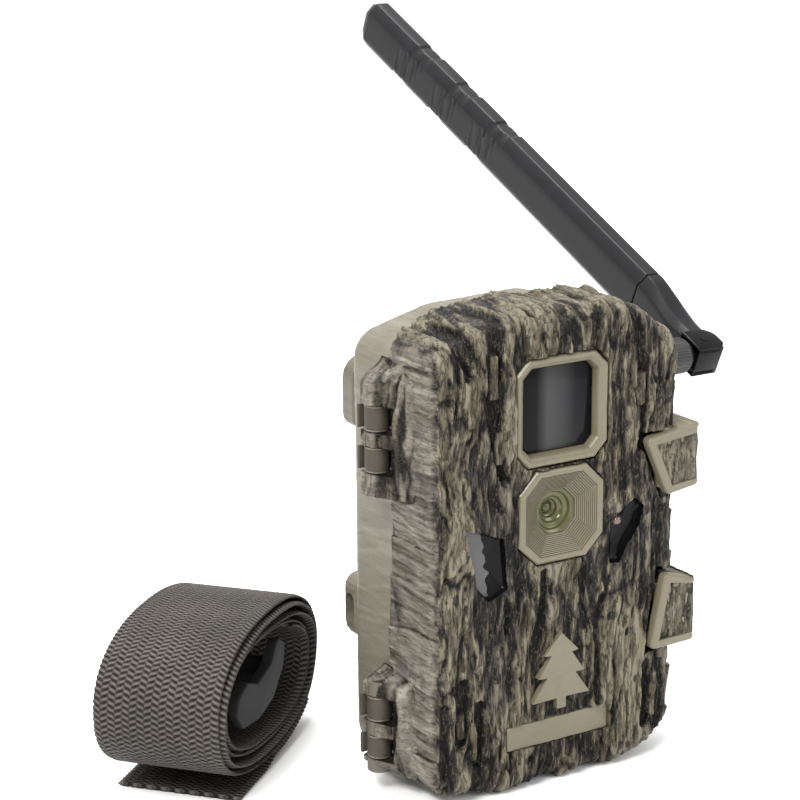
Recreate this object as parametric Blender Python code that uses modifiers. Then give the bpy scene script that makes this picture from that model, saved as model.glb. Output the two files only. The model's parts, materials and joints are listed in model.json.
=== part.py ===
"""Trail camera: a bark-patterned front cover hinged on a battery housing, with a tilting
antenna on its right side and a rolled mounting strap lying beside it.

Right-handed frame in metres: +X to the right as seen from the front, -Y to the front, +Z up.
The origin is on the flat base, under the middle of the case.
"""
import math

import bmesh
import bpy
from mathutils import Matrix, Vector

MM = 0.001
GAP = 0.3  # between pieces that touch, mm
WALL = 2.4

# Case, mm
FRONT_Y = -25.5
BACK_Y = 25.0
SEAM_Y = -2.5
COVER_CORNERS = [
    (-42.5, 4, 8), (-20, 0.4, 14), (20, 0.4, 14), (42.5, 6.5, 9), (42.5, 127, 10),
    (27, 140.5, 14), (-4, 142.3, 40), (-26, 141, 14), (-42.5, 133, 8),
]
HOUSING_CORNERS = [
    (-40.5, 4.5, 9), (-22, 0, 14), (22, 0, 14), (40.5, 4.5, 9), (40.5, 127, 12),
    (16, 137.5, 22), (-16, 136.5, 22), (-40.5, 130, 9),
]
PANEL_Y = (-5.0, -3.0)
BOARD_Y = (-10.4, -8.8)

# Hinge on the left side: a vertical axis and the heights of its knuckles
HINGE_XY = (-46.0, -1.0)
KNUCKLE_R = 3.6
HINGE_PIN_R = 1.5
COVER_KNUCKLES = [(116, 122.5), (104, 108), (89.5, 96), (29.5, 33.5), (17.5, 21.5), (6, 10)]
HOUSING_KNUCKLES = [(108.4, 115.6), (96.4, 103.6), (21.9, 29.1), (10.4, 17.1)]

# Front face
WINDOW_Z = 112.7
WINDOW_SIZE = 31.7
GLASS_SIZE = 24.1
PLAQUE_Z = 82.0
PLAQUE_SIZE = (29.0, 27.6)
LEFT_OPENING = [(-33.3, 83.3), (-28.3, 64.8), (-24.3, 60.2), (-17.9, 62.8), (-19.3, 77.9)]
RIGHT_OPENING = [(17.7, 77), (17.3, 64), (21, 63.5), (23.5, 68), (28, 74), (29.5, 79.5), (26, 82.5)]
BADGE_Z = 35.0
NAME_PLATE = (35.4, 7.3, 16.7)

# Latches on the right side, seen from the front
LATCH_X = 46.8
LATCH_FRONT_Y = -27.6
LATCH_BACK_Y = 7.0
LATCH_THICK = 2.6
LATCH_PIN_Y = -23.6
UPPER_LATCH = [(28, 100), (36, 82), (LATCH_X, 83.4), (LATCH_X, 102.4)]
LOWER_LATCH = [(36, 58), (31, 34.8), (LATCH_X, 35.2), (LATCH_X, 54.6)]

# Antenna
ANT_Z = 114.5
ANT_LEAN = math.radians(23.5)
ELBOW_X = 69.0
ARM_LENGTH = 209.0
CAP_END = 30.0
BOSS_X = 46.0

# Corners of the space kept clear round the antenna jack
JACK_CLEARANCE = ((34, -10, ANT_Z - 6), (50, 10, ANT_Z + 6))

# Fittings: posts behind the cover as (across, up), tripod socket and power jack
POSTS = [(-35, 14), (33, 13), (-35, 125), (33, 124)]
TRIPOD_Y = 9.5
DC_YZ = (15, 22)

# Strap roll: place of its middle, its direction and its oval
ROLL_CENTRE = (-77.5, 43.5, 25.5)
ROLL_TURN = math.radians(-49)
ROLL_OVAL = (42.0, 22.5)
ROLL_LAYERS = 9.0
STRAP_WIDTH = 38.0


def collection(name):
    group = bpy.data.collections.new(name)
    bpy.context.scene.collection.children.link(group)
    return group


def clear_scene():
    for item in list(bpy.data.objects):
        bpy.data.objects.remove(item, do_unlink=True)


def material(name, colour, roughness, metallic=0.0, alpha=1.0):
    made = bpy.data.materials.new(name)
    made.use_nodes = True
    shader = made.node_tree.nodes["Principled BSDF"]
    shader.inputs["Base Color"].default_value = (*colour, 1)
    shader.inputs["Roughness"].default_value = roughness
    shader.inputs["Metallic"].default_value = metallic
    shader.inputs["Alpha"].default_value = alpha
    return made


def object_from(mesh, name="piece"):
    made = bpy.data.objects.new(name, mesh)
    PARTS.objects.link(made)
    return made


def evaluated_mesh(item):
    bpy.context.view_layer.update()
    ready = item.evaluated_get(bpy.context.evaluated_depsgraph_get())
    return bpy.data.meshes.new_from_object(ready)


def apply_modifiers(item):
    mesh = evaluated_mesh(item)
    item.modifiers.clear()
    item.data = mesh
    return item


def bevelled(item, width, segments=2, angle=50):
    if width:
        edge = item.modifiers.new("edge", "BEVEL")
        edge.width = width * MM
        edge.segments = segments
        edge.limit_method = "ANGLE"
        edge.angle_limit = math.radians(angle)
        apply_modifiers(item)
    return item


def box(low, high, bevel=0.0, segments=2):
    bm = bmesh.new()
    bmesh.ops.create_cube(bm, size=1)
    size = [b - a for a, b in zip(low, high)]
    middle = [(a + b) / 2 for a, b in zip(low, high)]
    place = Matrix.Translation(Vector(middle) * MM) @ Matrix.Diagonal((*(s * MM for s in size), 1))
    bm.transform(place)
    mesh = bpy.data.meshes.new("box")
    bm.to_mesh(mesh)
    bm.free()
    return bevelled(object_from(mesh), bevel, segments)


AXES = {
    "X": Matrix.Rotation(math.pi / 2, 4, "Y"),
    "Y": Matrix.Rotation(-math.pi / 2, 4, "X"),
    "Z": Matrix.Identity(4),
}


def cone(start, length, axis, r1, r2, sides=24, turn=0.0, bevel=0.0):
    """A cylinder or cone from start along +axis; r1 is at the start."""
    bm = bmesh.new()
    bmesh.ops.create_cone(
        bm, cap_ends=True, segments=sides, radius1=r1 * MM, radius2=r2 * MM, depth=length * MM
    )
    bm.transform(Matrix.Rotation(turn, 4, "Z"))
    bm.transform(Matrix.Translation((0, 0, length * MM / 2)))
    bm.transform(Matrix.Translation(Vector(start) * MM) @ AXES[axis])
    mesh = bpy.data.meshes.new("cone")
    bm.to_mesh(mesh)
    bm.free()
    return bevelled(object_from(mesh), bevel, 1)


def rod(start, length, axis, radius, sides=24, bevel=0.0):
    return cone(start, length, axis, radius, radius, sides, 0.0, bevel)


def rounded(corners, steps=4):
    """The outline through corners given as (across, up, radius), each turned into an arc."""
    points = []
    count = len(corners)
    for i, (x, z, radius) in enumerate(corners):
        here = Vector((x, z))
        before = (Vector(corners[i - 1][:2]) - here).normalized()
        after = (Vector(corners[(i + 1) % count][:2]) - here).normalized()
        half = before.angle(after) / 2
        centre = here + (before + after).normalized() * radius / math.sin(half)
        reach = radius / math.tan(half)
        first = here + before * reach - centre
        last = here + after * reach - centre
        turn = math.remainder(
            math.atan2(last.y, last.x) - math.atan2(first.y, first.x), 2 * math.pi
        )
        for k in range(steps + 1):
            angle = turn * k / steps
            spoke = Matrix.Rotation(angle, 2) @ first
            points.append(tuple(centre + spoke))
    return points


def grown(points, distance):
    """The outline moved out by distance, or in where it is negative."""
    area = sum(a[0] * b[1] - b[0] * a[1] for a, b in zip(points, points[1:] + points[:1]))
    side = 1 if area > 0 else -1
    moved = []
    for i, here in enumerate(points):
        one = Vector(here) - Vector(points[i - 1])
        two = Vector(points[(i + 1) % len(points)]) - Vector(here)
        n1 = Vector((one.y, -one.x)).normalized() * side
        n2 = Vector((two.y, -two.x)).normalized() * side
        middle = (n1 + n2).normalized()
        moved.append(tuple(Vector(here) + middle * distance / max(0.3, middle.dot(n1))))
    return moved


PLANES = {
    "XZ": Matrix.Rotation(math.pi / 2, 4, "X"),
    "YZ": Matrix(((0, 0, 1, 0), (1, 0, 0, 0), (0, 1, 0, 0), (0, 0, 0, 1))),
    "XY": Matrix.Identity(4),
}


def plate(points, plane, start, end, bevel=0.0, segments=2, angle=50):
    """A flat outline in a plane, thick from start to end along the plane's third axis."""
    curve = bpy.data.curves.new("outline", "CURVE")
    curve.dimensions = "2D"
    curve.fill_mode = "BOTH"
    curve.extrude = (end - start) * MM / 2
    line = curve.splines.new("POLY")
    line.points.add(len(points) - 1)
    for spot, (across, up) in zip(line.points, points):
        spot.co = (across * MM, up * MM, 0, 1)
    line.use_cyclic_u = True
    guide = object_from(curve)
    mesh = evaluated_mesh(guide)
    bpy.data.objects.remove(guide)
    bm = bmesh.new()
    bm.from_mesh(mesh)
    bmesh.ops.remove_doubles(bm, verts=bm.verts, dist=1e-6)
    bmesh.ops.recalc_face_normals(bm, faces=bm.faces)
    for side in (-1, 1):
        cap = [face for face in bm.faces if face.normal.z * side > 0.9]
        bmesh.ops.dissolve_faces(bm, faces=cap)
    bm.transform(PLANES[plane])
    middle = (start + end) / 2 * MM
    shift = {"XZ": (0, middle, 0), "YZ": (middle, 0, 0), "XY": (0, 0, middle)}[plane]
    bm.transform(Matrix.Translation(shift))
    bm.to_mesh(mesh)
    bm.free()
    return bevelled(object_from(mesh), bevel, segments, angle)


def turned(profile, place, steps=24):
    """A profile of (radius, height) from top to bottom, turned about Z and put at place."""
    bm = bmesh.new()
    spots = [bm.verts.new((r * MM, 0, h * MM)) for r, h in profile]
    for one, two in zip(spots, spots[1:]):
        bm.edges.new((one, two))
    mesh = bpy.data.meshes.new("profile")
    bm.to_mesh(mesh)
    bm.free()
    item = object_from(mesh)
    screw = item.modifiers.new("turn", "SCREW")
    screw.steps = steps
    screw.render_steps = steps
    screw.use_merge_vertices = True
    screw.merge_threshold = 0.00001
    apply_modifiers(item)
    item.data.transform(place)
    return item


def combine(item, tools, operation):
    """The item cut by, or joined with, its tools, which are used up."""
    for tool in tools:
        step = item.modifiers.new(operation, "BOOLEAN")
        step.operation = operation
        step.solver = "EXACT"
        step.object = tool
    apply_modifiers(item)
    for tool in tools:
        bpy.data.objects.remove(tool)
    return item


def cut(item, *tools):
    return combine(item, tools, "DIFFERENCE")


def join(item, *tools):
    return combine(item, tools, "UNION")


def finished(item, name, look, pivot=(0, 0, 0), smooth=True):
    """Names the piece, gives it its material and puts its origin on its joint's axis."""
    item.name = name
    item.data.name = name
    item.data.materials.clear()
    item.data.materials.append(look)
    shift = Vector(pivot) * MM
    item.data.transform(Matrix.Translation(-shift))
    item.location = shift
    if smooth:
        item.data.shade_smooth()
        item.data.set_sharp_from_angle(angle=math.radians(35))
    return item


def at(x, y, z, axis="Z"):
    return Matrix.Translation(Vector((x, y, z)) * MM) @ AXES[axis]


def octagon(width, height, chamfer, z):
    w, h, c = width / 2, height / 2, chamfer
    half = [(w - c, -h), (w, -h + c), (w, h - c), (w - c, h)]
    other = [(-x, y) for x, y in reversed(half)]
    return [(x, y + z) for x, y in half + other]


# ---------------------------------------------------------------- case


def knuckles(heights):
    return [rod((*HINGE_XY, low), high - low, "Z", KNUCKLE_R) for low, high in heights]


def hinge_bores(heights):
    return [
        rod((*HINGE_XY, low - 1), high - low + 2, "Z", HINGE_PIN_R + 0.1)
        for low, high in heights
    ]


def latch_pin_x(latch):
    return 37.0 if latch is UPPER_LATCH else 37.5


def latch_span(latch):
    heights = [z for _, z in latch[2:]]
    return min(heights) + 1.5, max(heights) - 1.5


def make_cover(look):
    outline = rounded(COVER_CORNERS)
    cover = plate(outline, "XZ", FRONT_Y, 8, 4.0, 3)
    cut(cover, box((-60, SEAM_Y - 0.15, -10), (60, 20, 160)))
    cut(cover, plate(grown(outline, -WALL), "XZ", FRONT_Y + 2.8, 12))
    posts = [rod((x, FRONT_Y + 2, z), PANEL_Y[0] - GAP - FRONT_Y - 2, "Y", 3, 16) for x, z in POSTS]
    blocks = [
        plate([(min(x, 41.5), z) for x, z in grown(latch, 3.6)], "XZ", FRONT_Y + 0.4, -14.5)
        for latch in (UPPER_LATCH, LOWER_LATCH)
    ]
    webs = [box((-46, -4.6, low), (-41.6, SEAM_Y - 0.15, high)) for low, high in COVER_KNUCKLES]
    join(cover, *posts, *blocks, *webs, *knuckles(COVER_KNUCKLES))
    cut(cover, *hinge_bores(COVER_KNUCKLES))
    for latch in (UPPER_LATCH, LOWER_LATCH):
        recess = [(x if x < 42 else 60, z) for x, z in grown(latch, 1.3)]
        low, high = latch_span(latch)
        cut(
            cover,
            plate(recess, "XZ", -40, -17.5),
            rod((latch_pin_x(latch), LATCH_PIN_Y, low - 6), high - low + 12, "Z", 1.3, 16),
        )
    wide, tall, middle = NAME_PLATE
    cut(
        cover,
        plate(octagon(WINDOW_SIZE + 0.6, WINDOW_SIZE + 0.6, 4.5, WINDOW_Z), "XZ", -30, -18),
        plate(octagon(PLAQUE_SIZE[0] + 0.6, PLAQUE_SIZE[1] + 0.6, 6, PLAQUE_Z), "XZ", -30, -18),
        plate(LEFT_OPENING, "XZ", -30, -18),
        plate(RIGHT_OPENING, "XZ", -30, -18),
        box(
            (-wide / 2 - GAP, -30, middle - tall / 2 - GAP),
            (wide / 2 + GAP, -24.3, middle + tall / 2 + GAP),
        ),
        box((38, -8, ANT_Z - 8), (50, 0, ANT_Z + 8)),
    )
    return finished(cover, "front_cover", look, (*HINGE_XY, 0))


def make_housing(look):
    outline = rounded(HOUSING_CORNERS)
    housing = plate(outline, "XZ", -14, BACK_Y, 6.5, 3)
    cut(housing, box((-60, -40, -10), (60, SEAM_Y + 0.15, 160)))
    cut(housing, plate(grown(outline, -WALL), "XZ", -20, BACK_Y - WALL))
    webs = [box((-46, -1, low), (-39.4, 2.6, high)) for low, high in HOUSING_KNUCKLES]
    boss = box((40.3, -6.5, ANT_Z - 7), (BOSS_X, 7, ANT_Z + 7), 1.0)
    ribs = [box((39.4, 1.5, z - 7), (43.9, 5, z + 7), 0.6) for z in (92.5, 45)]
    tripod = rod((0, TRIPOD_Y, 0.2), 10.4, "Z", 7.5)
    join(housing, *webs, *knuckles(HOUSING_KNUCKLES), boss, *ribs, tripod)
    cut(
        housing,
        *hinge_bores(HOUSING_KNUCKLES),
        rod((30, 0, ANT_Z), 30, "X", 3.3),
        rod((0, TRIPOD_Y, -2), 11.6, "Z", 5.3),
        rod((30, *DC_YZ), 20, "X", 4.3),
    )
    return finished(housing, "rear_housing", look)


def make_housing_fittings(looks):
    outline = rounded(HOUSING_CORNERS)
    ring = plate(grown(outline, -WALL - GAP), "XZ", SEAM_Y - 0.1, 0.8)
    cut(ring, plate(grown(outline, -WALL - GAP - 1.6), "XZ", -10, 10), box(*JACK_CLEARANCE))
    finished(ring, "seal_gasket", looks["rubber"])
    for name, low, high in (("hinge_pin_upper", 89, 123), ("hinge_pin_lower", 5.5, 34)):
        pin = rod((*HINGE_XY, low), high - low, "Z", HINGE_PIN_R, 24, 0.3)
        finished(pin, name, looks["steel"])
    insert = rod((0, TRIPOD_Y, 0.4), 8.8, "Z", 5.0)
    cut(insert, rod((0, TRIPOD_Y, -1), 9, "Z", 3.2))
    finished(insert, "tripod_insert", looks["brass"])
    make_bracket(looks["housing"])
    make_batteries(looks)
    make_radio(looks)
    socket = rod((33.2, *DC_YZ), 6.8, "X", 4.0)
    cut(socket, rod((34.4, *DC_YZ), 12, "X", 2.9))
    join(socket, rod((34, *DC_YZ), 4.4, "X", 0.9, 12))
    finished(socket, "dc_jack", looks["black"])
    y, z = DC_YZ
    flap = box((40.8, y - 6, z - 6), (42.4, y + 6, z + 6.5), 0.6)
    join(flap, rod((40.4, y, z), 1.4, "X", 3.6))
    finished(flap, "dc_jack_cover", looks["rubber"], (41.6, y, z + 6))


def make_bracket(look):
    """Tree bracket: two stand-off blocks joined by two bars that the strap goes behind."""
    y0 = BACK_Y + GAP
    upper = plate(rounded([(-38, 100, 4), (38, 100, 4), (38, 121, 6), (-38, 121, 6)]), "XZ", y0, 33, 1.2, 1)
    lower = plate(rounded([(-38, 34, 6), (38, 34, 6), (38, 54.5, 4), (-38, 54.5, 4)]), "XZ", y0, 33, 1.2, 1)
    bars = [box((x - 3, 29.8, 52), (x + 3, 32.6, 103), 0.6) for x in (-20, 20)]
    join(upper, lower, *bars)
    oval = rounded([(26.8, 40, 2.4), (31.6, 40, 2.4), (31.6, 49, 2.4), (26.8, 49, 2.4)])
    cut(upper, plate(oval, "YZ", -50, 50))
    finished(upper, "strap_bracket", look)


def make_batteries(looks):
    """A tray with eight bays, in two rows of four, and a cell in each bay."""
    columns = [-24, -8, 8, 24]
    rows = [42, 97]
    tray = box((-32.8, 2, 12.5), (32.8, 20.4, 126.5), 1.0, 1)
    bays = [
        box((x - 7.5, 0, z - 26.4), (x + 7.5, 17.6, z + 26.4)) for x in columns for z in rows
    ]
    cut(tray, *bays)
    finished(tray, "battery_tray", looks["black"])
    count = 0
    for z in rows:
        for x in columns:
            count += 1
            profile = [(0, 25.2), (2.7, 25.2), (2.7, 23.8), (7.1, 23.8), (7.1, -25.2), (0, -25.2)]
            cell = turned(profile, at(x, 9.9, z), 18)
            finished(cell, f"battery_{count}", looks["cell"])


def make_radio(looks):
    """The cellular board, the antenna jack in the case wall and the lead between them."""
    jack = rod((34.8, 0, ANT_Z), 21.2, "X", 3.0)
    join(jack, cone((BOSS_X + GAP, 0, ANT_Z), 1.3, "X", 4.8, 4.8, 6))
    cut(jack, rod((54, 0, ANT_Z), 5, "X", 2.2, 16))
    finished(jack, "sma_jack", looks["brass"])
    nut = cone((35.3, 0, ANT_Z), 2.4, "X", 4.6, 4.6, 6)
    cut(nut, rod((30, 0, ANT_Z), 12, "X", 3.3))
    finished(nut, "sma_jack_nut", looks["brass"])
    board = box((35.6, 2, 58), (37.0, 20.2, 104))
    join(board, box((34.0, 4.5, 64), (35.8, 18, 88)), box((34.4, 6.5, 92), (35.8, 9.5, 95)))
    finished(board, "modem_board", looks["board"])
    lead_points = [(34.2, 0, ANT_Z), (33.8, -0.2, 110), (34.2, 2, 104), (34.0, 6, 99), (33.9, 8, 96)]
    finished(tube(lead_points, 0.55), "antenna_lead", looks["black"])


def tube(points, radius):
    curve = bpy.data.curves.new("lead", "CURVE")
    curve.dimensions = "3D"
    curve.bevel_depth = radius * MM
    curve.bevel_resolution = 2
    curve.use_fill_caps = True
    line = curve.splines.new("POLY")
    line.points.add(len(points) - 1)
    for spot, place in zip(line.points, points):
        spot.co = (*(v * MM for v in place), 1)
    guide = object_from(curve)
    mesh = evaluated_mesh(guide)
    bpy.data.objects.remove(guide)
    bm = bmesh.new()
    bm.from_mesh(mesh)
    bmesh.ops.remove_doubles(bm, verts=bm.verts, dist=1e-6)
    bmesh.ops.recalc_face_normals(bm, faces=bm.faces)
    bm.to_mesh(mesh)
    bm.free()
    return object_from(mesh)


# ---------------------------------------------------------------- front cover's pieces


def make_front_pieces(looks):
    frame = plate(octagon(WINDOW_SIZE, WINDOW_SIZE, 4.4, WINDOW_Z), "XZ", -23.2, -18.6, 0.8, 1, 30)
    inside = GLASS_SIZE + 2 * GAP
    cut(frame, plate(octagon(inside, inside, 2.6, WINDOW_Z), "XZ", -30, -10))
    finished(frame, "window_frame", looks["olive"])
    glass = plate(octagon(GLASS_SIZE, GLASS_SIZE, 2.4, WINDOW_Z), "XZ", -22.2, -20.4)
    finished(glass, "led_window", looks["dark_glass"])
    board = box((-15, -17.9, WINDOW_Z - 15), (15, -16.3, WINDOW_Z + 15))
    lamps = [
        rod((x, -19.8, WINDOW_Z + z), 2.4, "Y", 2.3, 12) for x in (-8, 0, 8) for z in (-8, 0, 8)
    ]
    join(board, *lamps)
    finished(board, "led_board", looks["board"])

    plaque = plate(octagon(*PLAQUE_SIZE, 5.9, PLAQUE_Z), "XZ", -25.9, -21.0, 0.5, 1, 30)
    facet = math.pi / 8
    grow = 1 / math.cos(facet)
    cut(
        plaque,
        cone((0, -26.3, PLAQUE_Z), 3.1, "Y", 12.6 * grow, 6.8 * grow, 8, facet),
        cone((0, -30, PLAQUE_Z), 20, "Y", 6.3 * grow, 6.3 * grow, 8, facet),
    )
    finished(plaque, "lens_plaque", looks["olive"])
    dome = [(0, 1.2), (2.2, 1.0), (4.0, 0.4), (5.4, -0.6), (5.4, -2.1), (0, -2.1)]
    facing = at(0, -21.6, PLAQUE_Z) @ Matrix.Rotation(math.pi / 2, 4, "X")
    finished(turned(dome, facing), "lens_glass", looks["lens"])
    barrel = rod((0, -20.7, PLAQUE_Z), 7.5, "Y", 7.6)
    cut(
        barrel,
        rod((0, -25, PLAQUE_Z), 5.8, "Y", 5.7),
        rod((0, -25, PLAQUE_Z), 20, "Y", 4.0),
    )
    finished(barrel, "lens_barrel", looks["black"])
    ir_filter = box((-5.5, -12.9, PLAQUE_Z - 5.5), (5.5, -12.1, PLAQUE_Z + 5.5))
    finished(ir_filter, "ir_cut_filter", looks["lens"])

    sheet = rounded([(-35, 57.5, 2), (-15.8, 57.5, 2), (-15.8, 85.5, 2), (-35, 85.5, 2)], 2)
    pir = plate(sheet, "XZ", -22.4, -21.2)
    finished(pir, "pir_lens", looks["pir"])
    finished(rod((-25.5, -15.0, 71), 4.3, "Y", 4.1, 20, 0.3), "pir_sensor", looks["steel"])
    window = box((15.9, -22.4, 61.8), (30.6, -21.4, 83.8))
    finished(window, "light_sensor_window", looks["black"])
    dome = [(0, 3.2), (1.0, 2.9), (1.8, 2.0), (1.8, 0), (0, 0)]
    facing = at(21, -22.7, 76.2) @ Matrix.Rotation(math.pi / 2, 4, "X")
    finished(turned(dome, facing, 16), "status_led", looks["clear"])

    tiers = [(2, -11.5), (2, -8), (10, -8), (5, -1), (8, -1), (3.8, 5.5), (6, 5.5)]
    tree = tiers + [(0, 11.5)] + [(-x, z) for x, z in reversed(tiers)]
    badge = plate([(x, z + BADGE_Z) for x, z in tree], "XZ", -26.6, FRONT_Y - GAP)
    finished(badge, "tree_badge", looks["olive"])
    wide, tall, middle = NAME_PLATE
    name_plate = box((-wide / 2, -25.3, middle - tall / 2), (wide / 2, -24.6, middle + tall / 2))
    finished(name_plate, "blank_name_plate", looks["olive"])


def make_control_panel(looks):
    outline = grown(rounded(COVER_CORNERS), -WALL - GAP)
    panel = plate(outline, "XZ", *PANEL_Y)
    cut(
        panel,
        box((-15.8, -8, 93.2), (15.8, 0, 116.8)),
        *[rod((x, -8, z), 8, "Y", 3.3) for x, z in BUTTONS.values()],
        box((-28.5, -8, 74), (-16.5, 0, 78)),
        box((-13, -8, 20), (13, 0, 36)),
        box((-31, -8, 24), (-18, 0, 40)),
        box(*JACK_CLEARANCE),
    )
    finished(panel, "control_panel", looks["black"])
    screen = box((-18, -7.6, 90), (18, -5.3, 120))
    join(screen, box((-15.5, -5.6, 93.5), (15.5, -3.3, 116.5)))
    finished(screen, "lcd_screen", looks["dark_glass"])
    for name, (x, z) in BUTTONS.items():
        key = rod((x, -5.9, z), 4.3, "Y", 3.0, 20, 0.4)
        join(key, rod((x, -6.4, z), 1.0, "Y", 3.8, 20))
        finished(key, name, looks["rubber"], (x, -1.6, z))
    knob = box((-27.8, -7.2, 74.4), (-23.8, -1.8, 77.6), 0.3, 1)
    finished(knob, "power_switch", looks["red"], (-25.8, -3, 76))
    board = box((-30, BOARD_Y[0], 22), (30, BOARD_Y[1], 122))
    seat = BOARD_Y[0] + 0.2
    join(board, box((-4, -11.4, 78), (4, seat, 86)), box((6, -12, 44), (22, seat, 60)))
    finished(board, "main_board", looks["board"])
    card = plate([(-12, 30), (12, 30), (12, 58), (8, 62), (-12, 62)], "XZ", -8.3, -6.2)
    finished(card, "sd_card", looks["card"], (0, -7.2, 30))
    sim = plate([(-30, 36), (-18.8, 36), (-18.8, 49), (-21, 51), (-30, 51)], "XZ", -8.2, -7.4)
    finished(sim, "sim_card", looks["white"], (-24.4, -7.8, 36))


BUTTONS = {
    "menu_button": (-10, 76),
    "up_button": (0, 84),
    "down_button": (0, 68),
    "ok_button": (10, 76),
}


def make_latch(name, latch, looks):
    """A face plate pinned on the cover, with an arm that runs back along the case."""
    low, high = latch_span(latch)
    x = latch_pin_x(latch)
    face = plate(latch, "XZ", LATCH_FRONT_Y, LATCH_FRONT_Y + 3, 0.7, 2)
    inner = LATCH_X - LATCH_THICK
    arm = box((inner, LATCH_FRONT_Y + 0.8, low - 1), (LATCH_X, LATCH_BACK_Y, high + 1), 0.7, 2)
    barrel = rod((x, LATCH_PIN_Y, low), high - low, "Z", 2.4)
    join(face, arm, barrel)
    cut(face, rod((x, LATCH_PIN_Y, low - 9), high - low + 18, "Z", 1.3, 16))
    pivot = (x, LATCH_PIN_Y, (low + high) / 2)
    finished(face, name, looks["olive"], pivot)
    pin = rod((x, LATCH_PIN_Y, low - 5), high - low + 10, "Z", 1.2, 16)
    finished(pin, name + "_pin", looks["steel"])


# ---------------------------------------------------------------- antenna


def antenna_frame():
    """Local Z runs along the arm and local Y along the tilt axis; the origin is in the elbow."""
    arm = Vector((0, math.cos(ANT_LEAN), math.sin(ANT_LEAN)))
    across = Vector((1, 0, 0))
    tilt = arm.cross(across)
    turn = Matrix((across, tilt, arm)).transposed().to_4x4()
    return Matrix.Translation(Vector((ELBOW_X, 0, ANT_Z)) * MM) @ turn


def section(depth, width, corner):
    """Eight-sided section of the arm: depth along X, width across the blade."""
    narrow = depth * 0.35
    half = [(depth, -width + corner), (depth, width - corner), (narrow, width), (-narrow, width)]
    return half + [(-x, -y) for x, y in half]


def lofted(sections):
    """A closed body through eight-sided sections given as (height, depth, width, corner)."""
    bm = bmesh.new()
    rings = []
    for height, depth, width, corner in sections:
        ring = [bm.verts.new((x * MM, y * MM, height * MM)) for x, y in section(depth, width, corner)]
        rings.append(ring)
    count = len(rings[0])
    for one, two in zip(rings, rings[1:]):
        for i in range(count):
            j = (i + 1) % count
            bm.faces.new((one[i], one[j], two[j], two[i]))
    bm.faces.new(rings[0])
    bm.faces.new(rings[-1])
    bmesh.ops.recalc_face_normals(bm, faces=bm.faces)
    mesh = bpy.data.meshes.new("loft")
    bm.to_mesh(mesh)
    bm.free()
    return object_from(mesh)


def make_antenna(looks):
    place = antenna_frame()
    pivot = (ELBOW_X, 0, ANT_Z)
    nut = rod((50, 0, ANT_Z), 12.4, "X", 5.5, 32, 0.6)
    cut(nut, rod((48, 0, ANT_Z), 9, "X", 3.3), rod((48, 0, ANT_Z), 20, "X", 2.8))
    finished(nut, "sma_nut", looks["black"], (56, 0, ANT_Z))

    arc = [(6.3 * math.cos(a * math.pi / 12), 6.3 * math.sin(a * math.pi / 12)) for a in range(7)]
    profile = [(-6.2, -6), (4.5, -6), (6.3, -4)] + arc + [(-6.2, 6.3)]
    block = plate(profile, "XZ", -6, 6, 0.5, 1, 30)
    cut(block, box((-4.7, -2.6, -4.7), (12, 2.6, 12)))
    cut(block, rod((0, -8, 0), 16, "Y", 1.4, 16))
    block.data.transform(place)
    join(block, rod((56.4, 0, ANT_Z), 7.4, "X", 2.4, 20))
    finished(block, "antenna_elbow", looks["black"], pivot)
    pin = rod((0, -5.7, 0), 11.4, "Y", 1.3, 16)
    pin.data.transform(place)
    finished(pin, "elbow_pin", looks["steel"], pivot)

    neck = lofted([
        (6.7, 4.6, 4.6, 1.2), (11, 4.8, 5.0, 1.4), (16, 5.0, 6.4, 2.0), (21, 5.0, 8.0, 2.6),
        (CAP_END, 5.0, 8.4, 3.0),
    ])
    join(neck, rod((0, -2.3, 0), 4.6, "Y", 4.2), box((-3.2, -2.3, 0), (3.2, 2.3, 8)))
    cut(neck, rod((0, -8, 0), 16, "Y", 1.4, 16))
    neck.data.transform(place)
    finished(neck, "antenna_neck", looks["black"], pivot)
    blade = lofted([
        (CAP_END + GAP, 5.0, 8.4, 3.0), (ARM_LENGTH - 3, 5.0, 8.4, 3.0), (ARM_LENGTH, 4.0, 6.6, 2.6),
    ])
    blade.data.transform(place)
    finished(blade, "antenna_blade", looks["black"], pivot)


# ---------------------------------------------------------------- strap


def roll_frame():
    """Local X runs across the roll's oval, local Y along its axis, with the origin in its middle."""
    axis = Vector((math.cos(ROLL_TURN), math.sin(ROLL_TURN), 0))
    across = Vector((-axis.y, axis.x, 0))
    turn = Matrix((across, -axis, Vector((0, 0, 1)))).transposed().to_4x4()
    return Matrix.Translation(Vector(ROLL_CENTRE) * MM) @ turn


def oval(width, height, count=40):
    return [
        (width * math.cos(2 * math.pi * i / count), height * math.sin(2 * math.pi * i / count))
        for i in range(count)
    ]


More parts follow.
